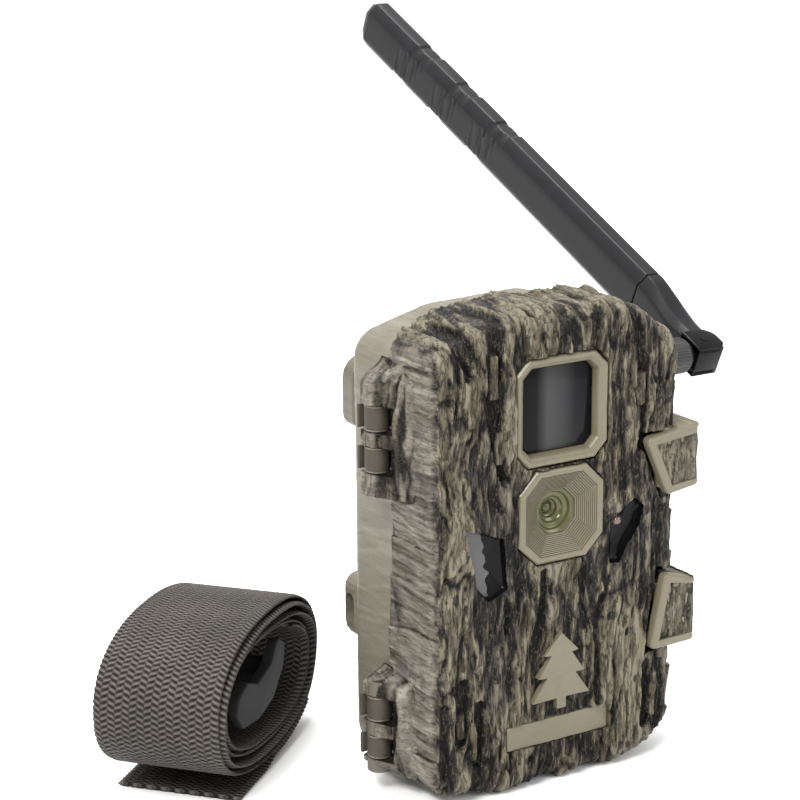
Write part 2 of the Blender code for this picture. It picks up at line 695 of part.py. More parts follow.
def make_strap(looks):
    place = roll_frame()
    half = STRAP_WIDTH / 2
    wide, tall = ROLL_OVAL
    webbing = plate(oval(wide, tall), "XZ", -half, half)
    cut(webbing, plate(oval(wide - ROLL_LAYERS, tall - ROLL_LAYERS), "XZ", -half - 5, half + 5))
    floor = -ROLL_CENTRE[2]
    under = [(-24.5, 0), (24, 0), (24, 5), (-6, 3.2), (-8, 2), (-24.5, 2)]
    tail = plate([(x, floor + z) for x, z in under], "XZ", -half, half)
    join(webbing, tail)
    webbing.data.transform(place)
    finished(webbing, "strap_webbing", looks["webbing"])

    ends = [
        (-20, -3), (-14, -9), (-2, -10.5), (10, -8), (18, 0), (20, 6), (14, 9), (9, 3), (-4, 1),
        (-12, 4), (-18, 2),
    ]
    side = half - 3
    buckle = plate(ends, "XZ", -side, side, 0.8, 1)
    cut(buckle, box((-30, -side + 3.5, -5.5), (30, side - 3.5, 20)))
    cut(buckle, rod((3, -side - 3, -2), 2 * side + 6, "Y", 1.6, 16))
    buckle.data.transform(place)
    finished(buckle, "buckle_body", looks["buckle"])
    reach = side - 3.9
    lever = rod((3, -reach, -2), 2 * reach, "Y", 3.0, 20)
    join(lever, plate([(1, 0.4), (3, -4), (-13, -3), (-13, 0.2)], "XZ", -reach, reach))
    cut(lever, rod((3, -side - 3, -2), 2 * side + 6, "Y", 1.6, 16))
    lever.data.transform(place)
    pivot = place @ (Vector((3, 0, -2)) * MM)
    finished(lever, "buckle_lever", looks["buckle"], pivot / MM)
    pin = rod((3, -side + 0.2, -2), 2 * side - 0.4, "Y", 1.5, 16)
    pin.data.transform(place)
    finished(pin, "buckle_pin", looks["steel"])


def main():
    looks = {
        "housing": material("housing", (0.36, 0.33, 0.26), 0.55),
        "bark": material("bark", (0.26, 0.22, 0.16), 0.6),
        "olive": material("olive", (0.38, 0.34, 0.23), 0.5),
        "black": material("black_plastic", (0.05, 0.05, 0.05), 0.45),
        "rubber": material("rubber", (0.04, 0.04, 0.04), 0.8),
        "steel": material("steel", (0.55, 0.55, 0.57), 0.3, 1.0),
        "brass": material("brass", (0.75, 0.6, 0.3), 0.3, 1.0),
        "board": material("board", (0.03, 0.2, 0.08), 0.5),
        "cell": material("cell", (0.12, 0.12, 0.13), 0.35),
        "dark_glass": material("dark_glass", (0.01, 0.01, 0.012), 0.1),
        "lens": material("lens", (0.3, 0.32, 0.15), 0.05, 0.0, 0.4),
        "pir": material("pir", (0.12, 0.12, 0.12), 0.4),
        "clear": material("clear", (0.9, 0.88, 0.82), 0.1, 0.0, 0.4),
        "red": material("switch_red", (0.6, 0.05, 0.04), 0.5),
        "card": material("card", (0.03, 0.05, 0.3), 0.5),
        "white": material("white_plastic", (0.85, 0.85, 0.85), 0.5),
        "webbing": material("webbing", (0.2, 0.17, 0.14), 0.9),
        "buckle": material("buckle", (0.07, 0.07, 0.07), 0.5),
    }
    make_housing(looks["housing"])
    make_housing_fittings(looks)
    make_cover(looks["bark"])
    make_front_pieces(looks)
    make_control_panel(looks)
    make_latch("latch_upper", UPPER_LATCH, looks)
    make_latch("latch_lower", LOWER_LATCH, looks)
    make_antenna(looks)
    make_strap(looks)


clear_scene()
PARTS = collection("trail_camera")
main()
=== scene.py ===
"""Looks of the trail camera: bark and wood-grain mouldings, antenna, optics and webbing roll.

Lengths of meshes are in millimetres in the CAD frame, and are turned into metres when a mesh is
made. Lengths inside the looks are in metres, because shaders read the finished mesh.
"""
import json
import math

import bmesh
import bpy
import numpy as np
from mathutils import Matrix, Vector


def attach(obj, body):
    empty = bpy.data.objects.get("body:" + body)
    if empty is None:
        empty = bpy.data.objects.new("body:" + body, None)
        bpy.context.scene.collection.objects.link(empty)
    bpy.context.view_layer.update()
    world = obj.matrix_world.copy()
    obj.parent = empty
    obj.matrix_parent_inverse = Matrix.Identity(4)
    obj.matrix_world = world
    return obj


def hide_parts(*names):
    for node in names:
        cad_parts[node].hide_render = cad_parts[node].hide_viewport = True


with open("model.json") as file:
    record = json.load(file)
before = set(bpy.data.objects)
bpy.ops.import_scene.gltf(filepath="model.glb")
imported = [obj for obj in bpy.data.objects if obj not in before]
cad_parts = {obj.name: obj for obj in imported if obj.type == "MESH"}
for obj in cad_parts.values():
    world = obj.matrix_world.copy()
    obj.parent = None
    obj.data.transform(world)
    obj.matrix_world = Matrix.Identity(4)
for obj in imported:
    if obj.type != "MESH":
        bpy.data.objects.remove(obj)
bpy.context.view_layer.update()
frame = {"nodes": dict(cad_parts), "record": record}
NODES = frame["nodes"]
MM = 0.001

# Case, as in the CAD
FRONT_Y = -25.5
BACK_Y = 25.0
SEAM_Y = -2.5
COVER_CORNERS = [
    (-42.5, 4, 8), (-20, 0.4, 14), (20, 0.4, 14), (42.5, 6.5, 9), (42.5, 127, 10),
    (27, 140.5, 14), (-4, 142.3, 40), (-26, 141, 14), (-42.5, 133, 8),
]
HOUSING_CORNERS = [
    (-40.5, 4.5, 9), (-22, 0, 14), (22, 0, 14), (40.5, 4.5, 9), (40.5, 127, 12),
    (16, 137.5, 22), (-16, 136.5, 22), (-40.5, 130, 9),
]
WINDOW_Z = 112.7
PLAQUE_Z = 82.0
BADGE_Z = 35.0
NAME_PLATE = (35.4, 7.3, 16.7)
LEFT_OPENING = [(-33.3, 83.3), (-28.3, 64.8), (-24.3, 60.2), (-17.9, 62.8), (-19.3, 77.9)]
RIGHT_OPENING = [(17.7, 77), (17.3, 64), (21, 63.5), (23.5, 68), (28, 74), (29.5, 79.5), (26, 82.5)]
HINGE_XY = (-46.0, -1.0)
LATCH_X = 46.8
UPPER_LATCH = [(28, 100), (36, 82), (LATCH_X, 83.4), (LATCH_X, 102.4)]
LOWER_LATCH = [(36, 58), (31, 34.8), (LATCH_X, 35.2), (LATCH_X, 54.6)]
ANT_Z = 114.5
ANT_LEAN = math.radians(23.5)
ELBOW_X = 69.0
ROLL_CENTRE = (-77.5, 43.5, 25.5)
ROLL_TURN = math.radians(-49)
ROLL_OVAL = (42.0, 22.5)
STRAP_WIDTH = 38.0
STRAP_THICK = 1.5
STRAP_LANES = 17
YARN_LEAN = 0.5
YARN_PITCH = 1.75
TURNS = 4.4


# ---------------------------------------------------------------- noise and outlines


def lattice(ix, iy, iz, seed):
    """A repeatable value from 0 to 1 for each lattice point."""
    h = (ix * 374761393 + iy * 668265263 + iz * 1442695041 + seed * 1274126177) & 0xFFFFFFFF
    h = ((h ^ (h >> 13)) * 1103515245) & 0xFFFFFFFF
    return ((h ^ (h >> 16)) & 0xFFFF) / 65535.0


def noise(points, size, seed):
    """Smooth value noise from 0 to 1; size is the feature size along each axis, mm."""
    q = points / np.asarray(size, float)
    cell = np.floor(q).astype(np.int64)
    f = q - cell
    f = f * f * (3 - 2 * f)
    total = 0
    for dx in (0, 1):
        wx = f[:, 0] if dx else 1 - f[:, 0]
        for dy in (0, 1):
            wy = f[:, 1] if dy else 1 - f[:, 1]
            for dz in (0, 1):
                wz = f[:, 2] if dz else 1 - f[:, 2]
                total = total + wx * wy * wz * lattice(
                    cell[:, 0] + dx, cell[:, 1] + dy, cell[:, 2] + dz, seed
                )
    return total


def fractal(points, size, seed, octaves=3, gain=0.5):
    """Layers of noise from 0 to 1, each half the size of the one before."""
    size = np.asarray(size, float)
    total, weight, share = 0, 0, 1.0
    for k in range(octaves):
        total = total + share * noise(points, size / 2**k, seed + 17 * k)
        weight += share
        share *= gain
    return total / weight


def ridge(value):
    """1 where value crosses its middle, falling to 0 at both ends."""
    return 1 - np.abs(2 * value - 1)


def step(low, high, value):
    """Rises smoothly from 0 at low to 1 at high; low may be the larger of the two."""
    t = np.clip((value - low) / (high - low), 0, 1)
    return t * t * (3 - 2 * t)


def rounded(corners, steps=12):
    """The outline through corners given as (across, up, radius), each turned into an arc."""
    points = []
    count = len(corners)
    for i, (x, z, radius) in enumerate(corners):
        here = Vector((x, z))
        before = (Vector(corners[i - 1][:2]) - here).normalized()
        after = (Vector(corners[(i + 1) % count][:2]) - here).normalized()
        half = before.angle(after) / 2
        centre = here + (before + after).normalized() * radius / math.sin(half)
        reach = radius / math.tan(half)
        first = here + before * reach - centre
        last = here + after * reach - centre
        turn = math.remainder(
            math.atan2(last.y, last.x) - math.atan2(first.y, first.x), 2 * math.pi
        )
        for k in range(steps + 1):
            points.append(tuple(centre + Matrix.Rotation(turn * k / steps, 2) @ first))
    return np.array(points)


def resampled(line, count):
    """count + 1 points evenly spaced along an open line."""
    along = np.concatenate([[0], np.cumsum(np.linalg.norm(np.diff(line, axis=0), axis=1))])
    at = np.linspace(0, along[-1], count + 1)
    return np.stack([np.interp(at, along, line[:, k]) for k in range(line.shape[1])], axis=1)


def inside(points, polygon):
    """Which of the (across, up) points lie inside the polygon."""
    polygon = np.asarray(polygon, float)
    x, z = points[:, 0], points[:, 1]
    odd = np.zeros(len(points), bool)
    for (x1, z1), (x2, z2) in zip(polygon, np.roll(polygon, -1, axis=0)):
        crosses = (z1 > z) != (z2 > z)
        slope = (x2 - x1) / (z2 - z1) if z2 != z1 else 0
        odd ^= crosses & (x < x1 + slope * (z - z1))
    return odd


def nearest_on(points, polygon):
    """(nearest points on the polygon's edge, their distances)."""
    polygon = np.asarray(polygon, float)
    best = np.full(len(points), np.inf)
    spot = np.zeros((len(points), 2))
    for a, b in zip(polygon, np.roll(polygon, -1, axis=0)):
        d = b - a
        t = np.clip((points - a) @ d / max(d @ d, 1e-9), 0, 1)
        q = a + t[:, None] * d
        far = np.linalg.norm(points - q, axis=1)
        closer = far < best
        best[closer] = far[closer]
        spot[closer] = q[closer]
    return spot, best


def grown(polygon, distance):
    """The outline moved out by distance, or in where it is negative."""
    p = np.asarray(polygon, float)
    before, after = p - np.roll(p, 1, axis=0), np.roll(p, -1, axis=0) - p
    area = (p[:, 0] * np.roll(p[:, 1], -1) - np.roll(p[:, 0], -1) * p[:, 1]).sum()
    side = 1 if area > 0 else -1
    normals = []
    for d in (before, after):
        n = np.stack([d[:, 1], -d[:, 0]], axis=1) * side
        normals.append(n / np.maximum(np.linalg.norm(n, axis=1, keepdims=True), 1e-9))
    middle = normals[0] + normals[1]
    middle /= np.linalg.norm(middle, axis=1, keepdims=True)
    return p + middle * distance / np.maximum(0.3, (middle * normals[0]).sum(1))[:, None]


def octagon(width, height, chamfer, z):
    w, h, c = width / 2, height / 2, chamfer
    half = [(w - c, -h), (w, -h + c), (w, h - c), (w - c, h)]
    return [(x, y + z) for x, y in half + [(-x, y) for x, y in reversed(half)]]


# ---------------------------------------------------------------- meshes


def linked(name, data):
    """A new object in the scene that holds a mesh, a light or a camera."""
    made = bpy.data.objects.new(name, data)
    bpy.context.scene.collection.objects.link(made)
    return made


def mesh_object(name, points, faces):
    """A piece from points in millimetres, in the CAD frame."""
    mesh = bpy.data.meshes.new(name)
    mesh.from_pydata((np.asarray(points) * MM).tolist(), [], [tuple(f) for f in faces])
    mesh.update()
    mesh.shade_smooth()
    return linked(name, mesh)


def xyz(x, y, z):
    """Points from their three coordinates, any of which may be one number for all."""
    return np.stack(np.broadcast_arrays(x, y, z), axis=-1)


def shade(piece, angle):
    """Smooth, with sharp edges where faces meet at more than angle degrees."""
    piece.data.shade_smooth()
    piece.data.set_sharp_from_angle(angle=math.radians(angle))
    return piece


def tidy_mesh(piece, angle):
    """Merges doubled points, turns the faces outwards and shades the piece."""
    bm = bmesh.new()
    bm.from_mesh(piece.data)
    bmesh.ops.remove_doubles(bm, verts=bm.verts, dist=1e-7)
    bmesh.ops.recalc_face_normals(bm, faces=bm.faces)
    bm.to_mesh(piece.data)
    bm.free()
    return shade(piece, angle)


def grid_faces(rows, columns, wrap=False, start=0):
    """Quads of a grid of rows by columns of points; wrap joins the last column to the first."""
    across = np.arange(columns if wrap else columns - 1)
    r, c = np.meshgrid(np.arange(rows - 1), across, indexing="ij")
    a = r * columns + c
    b = r * columns + (c + 1) % columns
    quads = np.stack([a, b, b + columns, a + columns], axis=-1).reshape(-1, 4)
    return quads + start


def add_values(piece, **values):
    """Stores a number for each point of the mesh, or one for all, for the looks to read."""
    count = len(piece.data.vertices)
    for name, numbers in values.items():
        layer = piece.data.attributes.new(name, "FLOAT", "POINT")
        layer.data.foreach_set("value", np.broadcast_to(numbers, count).astype(np.float32))


def from_bmesh(name, bm):
    mesh = bpy.data.meshes.new(name)
    bm.to_mesh(mesh)
    bm.free()
    return shade(linked(name, mesh), 32)


def applied(piece):
    """The piece with its modifiers worked into its mesh."""
    bpy.context.view_layer.update()
    ready = piece.evaluated_get(bpy.context.evaluated_depsgraph_get())
    mesh = bpy.data.meshes.new_from_object(ready)
    piece.modifiers.clear()
    piece.data = mesh
    return piece


def bevelled(piece, width, segments=3, angle=30):
    edge = piece.modifiers.new("edge", "BEVEL")
    edge.width = width * MM
    edge.segments = segments
    edge.limit_method = "ANGLE"
    edge.angle_limit = math.radians(angle)
    return shade(applied(piece), 40)


def box_bmesh(low, high):
    bm = bmesh.new()
    bmesh.ops.create_cube(bm, size=1)
    low, high = Vector(low) * MM, Vector(high) * MM
    bm.transform(Matrix.Translation((low + high) / 2) @ Matrix.Diagonal((*(high - low), 1)))
    return bm


def block(name, low, high, bevel, segments=3):
    return bevelled(from_bmesh(name, box_bmesh(low, high)), bevel, segments)


def slab(name, outline, y_front, y_back, bevel=0.0, segments=3, angle=30):
    """A flat outline in XZ, thick from y_front to y_back."""
    bm = bmesh.new()
    front = [bm.verts.new((x * MM, y_front * MM, z * MM)) for x, z in outline]
    back = [bm.verts.new((x * MM, y_back * MM, z * MM)) for x, z in outline]
    bm.faces.new(front)
    bm.faces.new(list(reversed(back)))
    for i in range(len(front)):
        j = (i + 1) % len(front)
        bm.faces.new((front[j], front[i], back[i], back[j]))
    bmesh.ops.recalc_face_normals(bm, faces=bm.faces)
    piece = from_bmesh(name, bm)
    return bevelled(piece, bevel, segments, angle) if bevel else piece


def lathe(name, profile, steps=48, place=Matrix.Identity(4)):
    """A closed profile of (radius, height) rows turned about Z, then moved by place."""
    rows = []
    for radius, height in profile:
        for k in range(steps):
            angle = 2 * math.pi * k / steps
            rows.append((radius * math.cos(angle), radius * math.sin(angle), height))
    piece = tidy_mesh(mesh_object(name, rows, grid_faces(len(profile), steps, wrap=True)), 35)
    piece.data.transform(place)
    return piece


def ring_profile(bore, radius, low, high, edge):
    """A ring's section for lathe, with its two outer corners cut off; edge is the cut's height."""
    lip = radius - 0.2
    return [(bore, low), (lip, low), (radius, low + edge), (radius, high - edge), (lip, high), (bore, high),
            (bore, low)]


def place_at(x, y, z, axis="Z"):
    turn = {
        "X": Matrix.Rotation(math.pi / 2, 4, "Y"),
        "-Y": Matrix.Rotation(math.pi / 2, 4, "X"),
        "Y": Matrix.Rotation(-math.pi / 2, 4, "X"),
        "Z": Matrix.Identity(4),
    }[axis]
    return Matrix.Translation(Vector((x, y, z)) * MM) @ turn


def finish_piece(piece, look, body, slot, *nodes):
    piece.data.materials.clear()
    piece.data.materials.append(look)
    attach(piece, body)
    if nodes:
        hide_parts(*nodes)
    return piece


def join_pieces(name, pieces):
    """One object from several, keeping their attributes."""
    bpy.context.view_layer.update()
    with bpy.context.temp_override(
        active_object=pieces[0], selected_editable_objects=pieces, selected_objects=pieces
    ):
        bpy.ops.object.join()
    pieces[0].name = name
    pieces[0].data.name = name
    return pieces[0]


# ---------------------------------------------------------------- looks


def new_look(name, roughness=0.5, metallic=0.0, specular=0.5):
    look = bpy.data.materials.new(name)
    look.use_nodes = True
    shader = look.node_tree.nodes["Principled BSDF"]
    feed(shader, "Roughness", roughness)
    feed(shader, "Metallic", metallic)
    feed(shader, "Specular IOR Level", specular)
    return look, look.node_tree, shader


class Signal:
    """A shader node's output; arithmetic on it adds Math nodes, and a number may stand on either side."""

    def __init__(self, socket):
        self.socket = socket
        self.tree = socket.id_data

    def __add__(self, other):
        return maths("ADD", self, other)

    def __radd__(self, other):
        return maths("ADD", other, self)

    def __sub__(self, other):
        return maths("SUBTRACT", self, other)

    def __rsub__(self, other):
        return maths("SUBTRACT", other, self)

    def __mul__(self, other):
        return maths("MULTIPLY", self, other)

    def __pow__(self, other):
        return maths("POWER", self, other)

    def __mod__(self, other):
        return maths("MODULO", self, other)

    def __abs__(self):
        return maths("ABSOLUTE", self)


def feed(owner, key, value):
    """Sets a node's input: a signal is linked, a number is the socket's own value."""
    socket = owner.inputs[key]
    if isinstance(value, Signal):
        value.tree.links.new(value.socket, socket)
    else:
        socket.default_value = value


def node(tree, kind, settings=None, **inputs):
    """A node with its inputs set by name, or by number as n0, n1 and so on."""
    made = tree.nodes.new("ShaderNode" + kind)
    for key, value in (settings or {}).items():
        setattr(made, key, value)
    for key, value in inputs.items():
        feed(made, int(key[1:]) if key[0] == "n" and key[1:].isdigit() else key, value)
    return made


def signal(tree, kind, output, settings=None, **inputs):
    return Signal(node(tree, kind, settings, **inputs).outputs[output])


def maths(operation, a, b=0.0):
    tree = (a if isinstance(a, Signal) else b).tree
    return signal(tree, "Math", 0, {"operation": operation}, n0=a, n1=b)


def remap(value, to_low, to_high, low=0.0, high=1.0):
    return signal(value.tree, "MapRange", 0, Value=value, n1=low, n2=high, n3=to_low, n4=to_high)


def own_place(tree):
    """The object's own coordinates, which are the CAD frame's, in metres."""
    return signal(tree, "TexCoord", "Object")


def own_axis(tree, axis):
    return signal(tree, "SeparateXYZ", axis, Vector=own_place(tree))


def grain(tree, size, scale, detail=3.0, roughness=0.55):
    """Noise over the object's own coordinates; size is the stretch along each axis."""
    stretch = signal(tree, "Mapping", 0, Vector=own_place(tree), Scale=size)
    return signal(
        tree, "TexNoise", "Fac", Vector=stretch, Scale=scale, Detail=detail, Roughness=roughness
    )


def blended(factor, one, two):
    """From colour one to colour two; each is a signal or (r, g, b)."""
    made = node(factor.tree, "MixRGB", Fac=factor)
    for key, value in ((1, one), (2, two)):
        feed(made, key, value if isinstance(value, Signal) else (*value, 1))
    return Signal(made.outputs[0])


def ramp(factor, *stops):
    """A colour ramp through (position, colour) stops; a colour is (r, g, b) or one grey value."""
    made = node(factor.tree, "ValToRGB", Fac=factor)
    band = made.color_ramp
    while len(band.elements) < len(stops):
        band.elements.new(0.5)
    for element, (position, colour) in zip(band.elements, stops):
        element.position = position
        element.color = (*(colour if isinstance(colour, tuple) else (colour,) * 3), 1)
    return Signal(made.outputs["Color"])


def bump(shader, height, strength, distance):
    tree = height.tree
    feed(shader, "Normal", signal(
        tree, "Bump", 0, Height=height, Strength=strength, Distance=distance
    ))


def attribute(tree, name):
    return signal(tree, "Attribute", "Fac", {"attribute_name": name})


def plain_look(name, colour, roughness, metallic=0.0, spread=0.12, size=(1, 1, 1), scale=600.0,
               depth=0.00002, specular=0.5):
    """A moulded, cast or plated surface: fine mottling in colour, roughness and relief."""
    look, tree, shader = new_look(name, roughness, metallic, specular)
    fine = grain(tree, size, scale, 4)
    broad = grain(tree, size, scale / 14, 2)
    low = tuple(c * (1 - spread) for c in colour)
    high = tuple(min(1, c * (1 + spread)) for c in colour)
    mixed = fine * 0.5 + broad * 0.5
    feed(shader, "Base Color", ramp(mixed, (0.3, low), (0.7, high)))
    rough = remap(mixed, roughness * 0.88, min(1, roughness * 1.12), 0.3, 0.7)
    feed(shader, "Roughness", rough)
    bump(shader, fine, 0.35, depth)
    return look


def bark_look():
    """Brown bark with charcoal paint in the grooves; reads the relief stored on the mesh."""
    look, tree, shader = new_look("bark", 0.42, specular=0.14)
    relief, dark, side = (attribute(tree, name) for name in ("relief", "dark", "side"))
    upright = grain(tree, (1, 1, 0.16), 1250, 5, 0.65)
    level = grain(tree, (1, 0.16, 1), 1100, 5, 0.65)
    fine = remap(side, upright, level)
    tall = grain(tree, (1, 0.6, 0.22), 520, 4, 0.62)
    long = grain(tree, (0.6, 0.2, 1), 560, 4, 0.62)
    coarse = remap(side, tall, long)
    specks = grain(tree, (1, 1, 0.6), 520, 4, 0.7)
    patches = grain(tree, (1, 1, 0.6), 75, 3, 0.6)
    # Fine cracks run where the coarse grain crosses its middle value
    away = abs(coarse - 0.5)
    away = away * (side + 1.0)
    crack = ramp(away, (0.0, 1), (0.045, 0))
    share = remap(side, 1.0, 0.5)
    detail = fine + coarse * 1.2
    detail = (detail - 1.1) * share
    tone = relief + detail
    tan = ramp(
        tone, (0.08, (0.0044, 0.0033, 0.0026)), (0.34, (0.0250, 0.0196, 0.0130)),
        (0.58, (0.0640, 0.0530, 0.0345)), (0.82, (0.1120, 0.0965, 0.0665)), (1.0, (0.1680, 0.1490, 0.1080)),
    )
    wood = ramp(
        tone, (0.08, (0.0200, 0.0160, 0.0124)), (0.34, (0.0760, 0.0650, 0.0490)),
        (0.64, (0.1540, 0.1380, 0.1120)), (1.0, (0.2500, 0.2300, 0.1880)),
    )
    plum = ramp(
        tone, (0.2, (0.0202, 0.0174, 0.0174)), (0.9, (0.1204, 0.1075, 0.1019)))
    spread = ramp(patches, (0.50, 0), (0.62, 1)) * 0.65
    wood = blended(spread, wood, plum)
    tan = blended(side, tan, wood)
    paint = ramp(
        tone, (0.12, (0.0008, 0.0008, 0.0010)), (0.42, (0.0056, 0.0050, 0.0050)),
        (0.68, (0.0270, 0.0232, 0.0195)), (1.0, (0.0900, 0.0790, 0.0600)),
    )
    edge = dark + (specks - 0.5) * 1.1
    cover = ramp(edge, (0.22, 0), (0.74, 1))
    colour = blended(cover, tan, paint)
    # Painted highlight: pale edges beside the cracks
    edge_highlight = ramp(away, (0.050, 0), (0.066, 1), (0.095, 0))
    edge_highlight = edge_highlight * ramp(specks, (0.40, 0), (0.60, 0.5))
    colour = blended(edge_highlight, colour, (0.175, 0.155, 0.110))
    shade = remap(side, 0.72, 0.50)
    colour = blended(crack * shade, colour, (0.004, 0.0034, 0.003))
    feed(shader, "Base Color", colour)
    rough = remap(specks, 0.36, 0.58, 0.3, 0.7)
    feed(shader, "Roughness", rough)
    bump(shader, detail - crack * 0.30, 0.85, 0.00050)
    return look


def wood_look():
    """Smooth olive-grey moulding with faint near-level wood grain."""
    look, tree, shader = new_look("wood_grain", 0.46, specular=0.3)
    relief = attribute(tree, "relief")
    fine = grain(tree, (1, 0.12, 1), 520, 4, 0.6)
    speck = grain(tree, (1, 1, 1), 1300, 3, 0.6)
    broad = grain(tree, (1, 0.35, 1), 42, 3, 0.5)
    tone = fine * 0.40 + broad * 0.42
    tone = tone + relief * 0.25
    colour = ramp(
        tone, (0.28, (0.0924, 0.0806, 0.0582)), (0.50, (0.1540, 0.1389, 0.1064)),
        (0.74, (0.2156, 0.1988, 0.1596)),
    )
    feed(shader, "Base Color", colour)
    rough = remap(speck, 0.40, 0.54, 0.3, 0.7)
    feed(shader, "Roughness", rough)
    bump(shader, fine + speck * 0.3, 0.35, 0.00012)
    return look


def webbing_look():
    """Grey-brown polyester webbing: leaning yarns in lanes, with dark gaps between them.

    The mesh carries each point's place in lanes across and in yarns along the webbing."""
    look, tree, shader = new_look("webbing", 0.62, specular=0.25)
    across, along = attribute(tree, "across"), attribute(tree, "along")
    lane = maths("FLOOR", across)
    share = maths("FRACT", across)
    odd = lane % 2.0
    lean = (share - 0.5) * YARN_LEAN
    lean = lean * (odd * 2.0 - 1.0)
    yarn = along + lean + odd * 0.5
    hump = maths("SINE", maths("FRACT", yarn) * math.pi)
    side = maths("SINE", share * math.pi)
    # Dark dots lie in the middle of each lane, between one yarn and the next; these and the darker lane
    # seams are painted shade between the yarns
    gap = 1.0 - hump ** 1.1
    gap = gap * (0.30 + side * 0.80)
    seam = (1.0 - side ** 0.4) * 0.30
    crown = 1.0 - gap - seam
    fibre = grain(tree, (1, 1, 1), 2600, 3, 0.6)
    broad = grain(tree, (1, 1, 1), 60, 2)
    tone = crown + (fibre - 0.5) * 0.45
    tone = tone + (broad - 0.5) * 0.25
    colour = ramp(
        tone, (0.24, (0.0016, 0.0013, 0.0010)), (0.55, (0.0150, 0.0120, 0.0096)),
        (0.80, (0.0500, 0.0415, 0.0350)), (1.0, (0.0980, 0.0850, 0.0740)),
    )
    feed(shader, "Base Color", colour)
    bump(shader, crown + fibre * 0.2, 0.8, 0.00045)
    return look


def cell_look():
    """Printed sleeve of a plain AA cell: dark body with a copper-coloured band at one end."""
    look, tree, shader = new_look("cell_sleeve", 0.3, 0.55)
    up = own_axis(tree, 2)
    fine = grain(tree, (1, 1, 1), 700, 3)
    lowest, pitch, band_start = 0.0165, 0.055, 0.036
    band = maths("GREATER_THAN", (up - lowest) % pitch, band_start)
    body = ramp(fine, (0.3, (0.025, 0.025, 0.028)), (0.7, (0.045, 0.045, 0.05)))
    copper = ramp(fine, (0.3, (0.42, 0.21, 0.10)), (0.7, (0.55, 0.29, 0.15)))
    feed(shader, "Base Color", blended(band, body, copper))
    return look


def board_look():
    """Solder-masked board with copper tracks and pads."""
    look, tree, shader = new_look("circuit_board", 0.35)
    place = own_place(tree)
    cells = signal(tree, "TexVoronoi", "Distance", {"distance": "MANHATTAN"}, Vector=place, Scale=260.0)
    tracks = signal(tree, "TexBrick", "Fac", {"offset": 0.3}, Vector=place, Scale=420.0)
    green = ramp(cells, (0.1, (0.012, 0.085, 0.035)), (0.6, (0.02, 0.125, 0.055)))
    pads = ramp(cells, (0.07, 1), (0.09, 0))
    colour = blended(tracks * 0.35, green, (0.03, 0.2, 0.09))
    feed(shader, "Base Color", blended(pads, colour, (0.62, 0.58, 0.45)))
    bump(shader, cells, 0.3, 0.0001)
    return look


def glass_look(name, colour, roughness=0.03, transmission=0.85, ior=1.5):
    look, tree, shader = new_look(name, roughness)
    feed(shader, "Transmission Weight", transmission)
    feed(shader, "IOR", ior)
    fine = grain(tree, (1, 1, 1), 500, 2)
    low = tuple(c * 0.92 for c in colour)
    feed(shader, "Base Color", ramp(fine, (0.3, low), (0.7, colour)))
    return look


def black_window_look():
    """Infrared-pass window: nearly black, with a painted reflection as a lighter band down its middle."""
    look, tree, shader = new_look("infrared_window", 0.06, specular=0.08)
    across = own_axis(tree, 0)
    fine = grain(tree, (1, 1, 1), 300, 2)
    half_width = 0.0122
    share = remap(across, 0.0, 1.0, -half_width, half_width)
    share = share + (fine - 0.5) * 0.02
    # Painted reflection: lighter across the middle, darkest at both sides
    colour = ramp(
        share,
        (0.0, (0.004, 0.004, 0.005)), (0.22, (0.007, 0.007, 0.008)), (0.38, (0.050, 0.048, 0.048)),
        (0.58, (0.036, 0.035, 0.036)), (0.76, (0.010, 0.010, 0.012)), (1.0, (0.002, 0.002, 0.003)),
    )
    feed(shader, "Base Color", colour)
    return look


def screen_look():
    """Unlit monochrome display behind its cover."""
    look, tree, shader = new_look("display", 0.12)
    dots = signal(tree, "TexChecker", "Fac", Vector=own_place(tree), Scale=1600.0)
    colour = ramp(dots, (0.0, (0.060, 0.070, 0.062)), (1.0, (0.085, 0.098, 0.086)))
    feed(shader, "Base Color", colour)
    return look


# ---------------------------------------------------------------- moulded skins


def boundary_sides(corners, ends, counts):
    """Four sides of the outline (bottom, right, top, left), each evenly spaced.

    ends are the corners whose middles divide the sides; counts are (across, up).
    """
    steps = 12
    line = rounded(corners, steps)
    marks = [k * (steps + 1) + steps // 2 for k in ends]
    sides = []
    for k, count in enumerate((counts[0], counts[1], counts[0], counts[1])):
        first, last = marks[k], marks[(k + 1) % 4]
        part = line[first:last + 1] if last > first else np.concatenate([line[first:], line[:last + 1]])
        sides.append(resampled(part, count)[:-1])
    return np.concatenate(sides)


def loop_normals(loop):
    tangent = np.roll(loop, -1, axis=0) - np.roll(loop, 1, axis=0)
    tangent /= np.linalg.norm(tangent, axis=1, keepdims=True)
    return np.stack([tangent[:, 1], -tangent[:, 0]], axis=1)


def coons(loop, counts):
    """Grid of points filling the loop made by boundary_sides."""
    nu, nv = counts
    bottom = loop[:nu + 1]
    right = loop[nu:nu + nv + 1]
    top = loop[nu + nv:2 * nu + nv + 1][::-1]
    left = np.concatenate([loop[2 * nu + nv:], loop[:1]])[::-1]
    u = np.linspace(0, 1, nu + 1)[None, :, None]
    v = np.linspace(0, 1, nv + 1)[:, None, None]
    grid = (1 - v) * bottom[None] + v * top[None] + (1 - u) * left[:, None] + u * right[:, None]
    grid -= (1 - u) * (1 - v) * bottom[0] + u * (1 - v) * bottom[-1]
    grid -= (1 - u) * v * top[0] + u * v * top[-1]
    return grid.reshape(-1, 2)


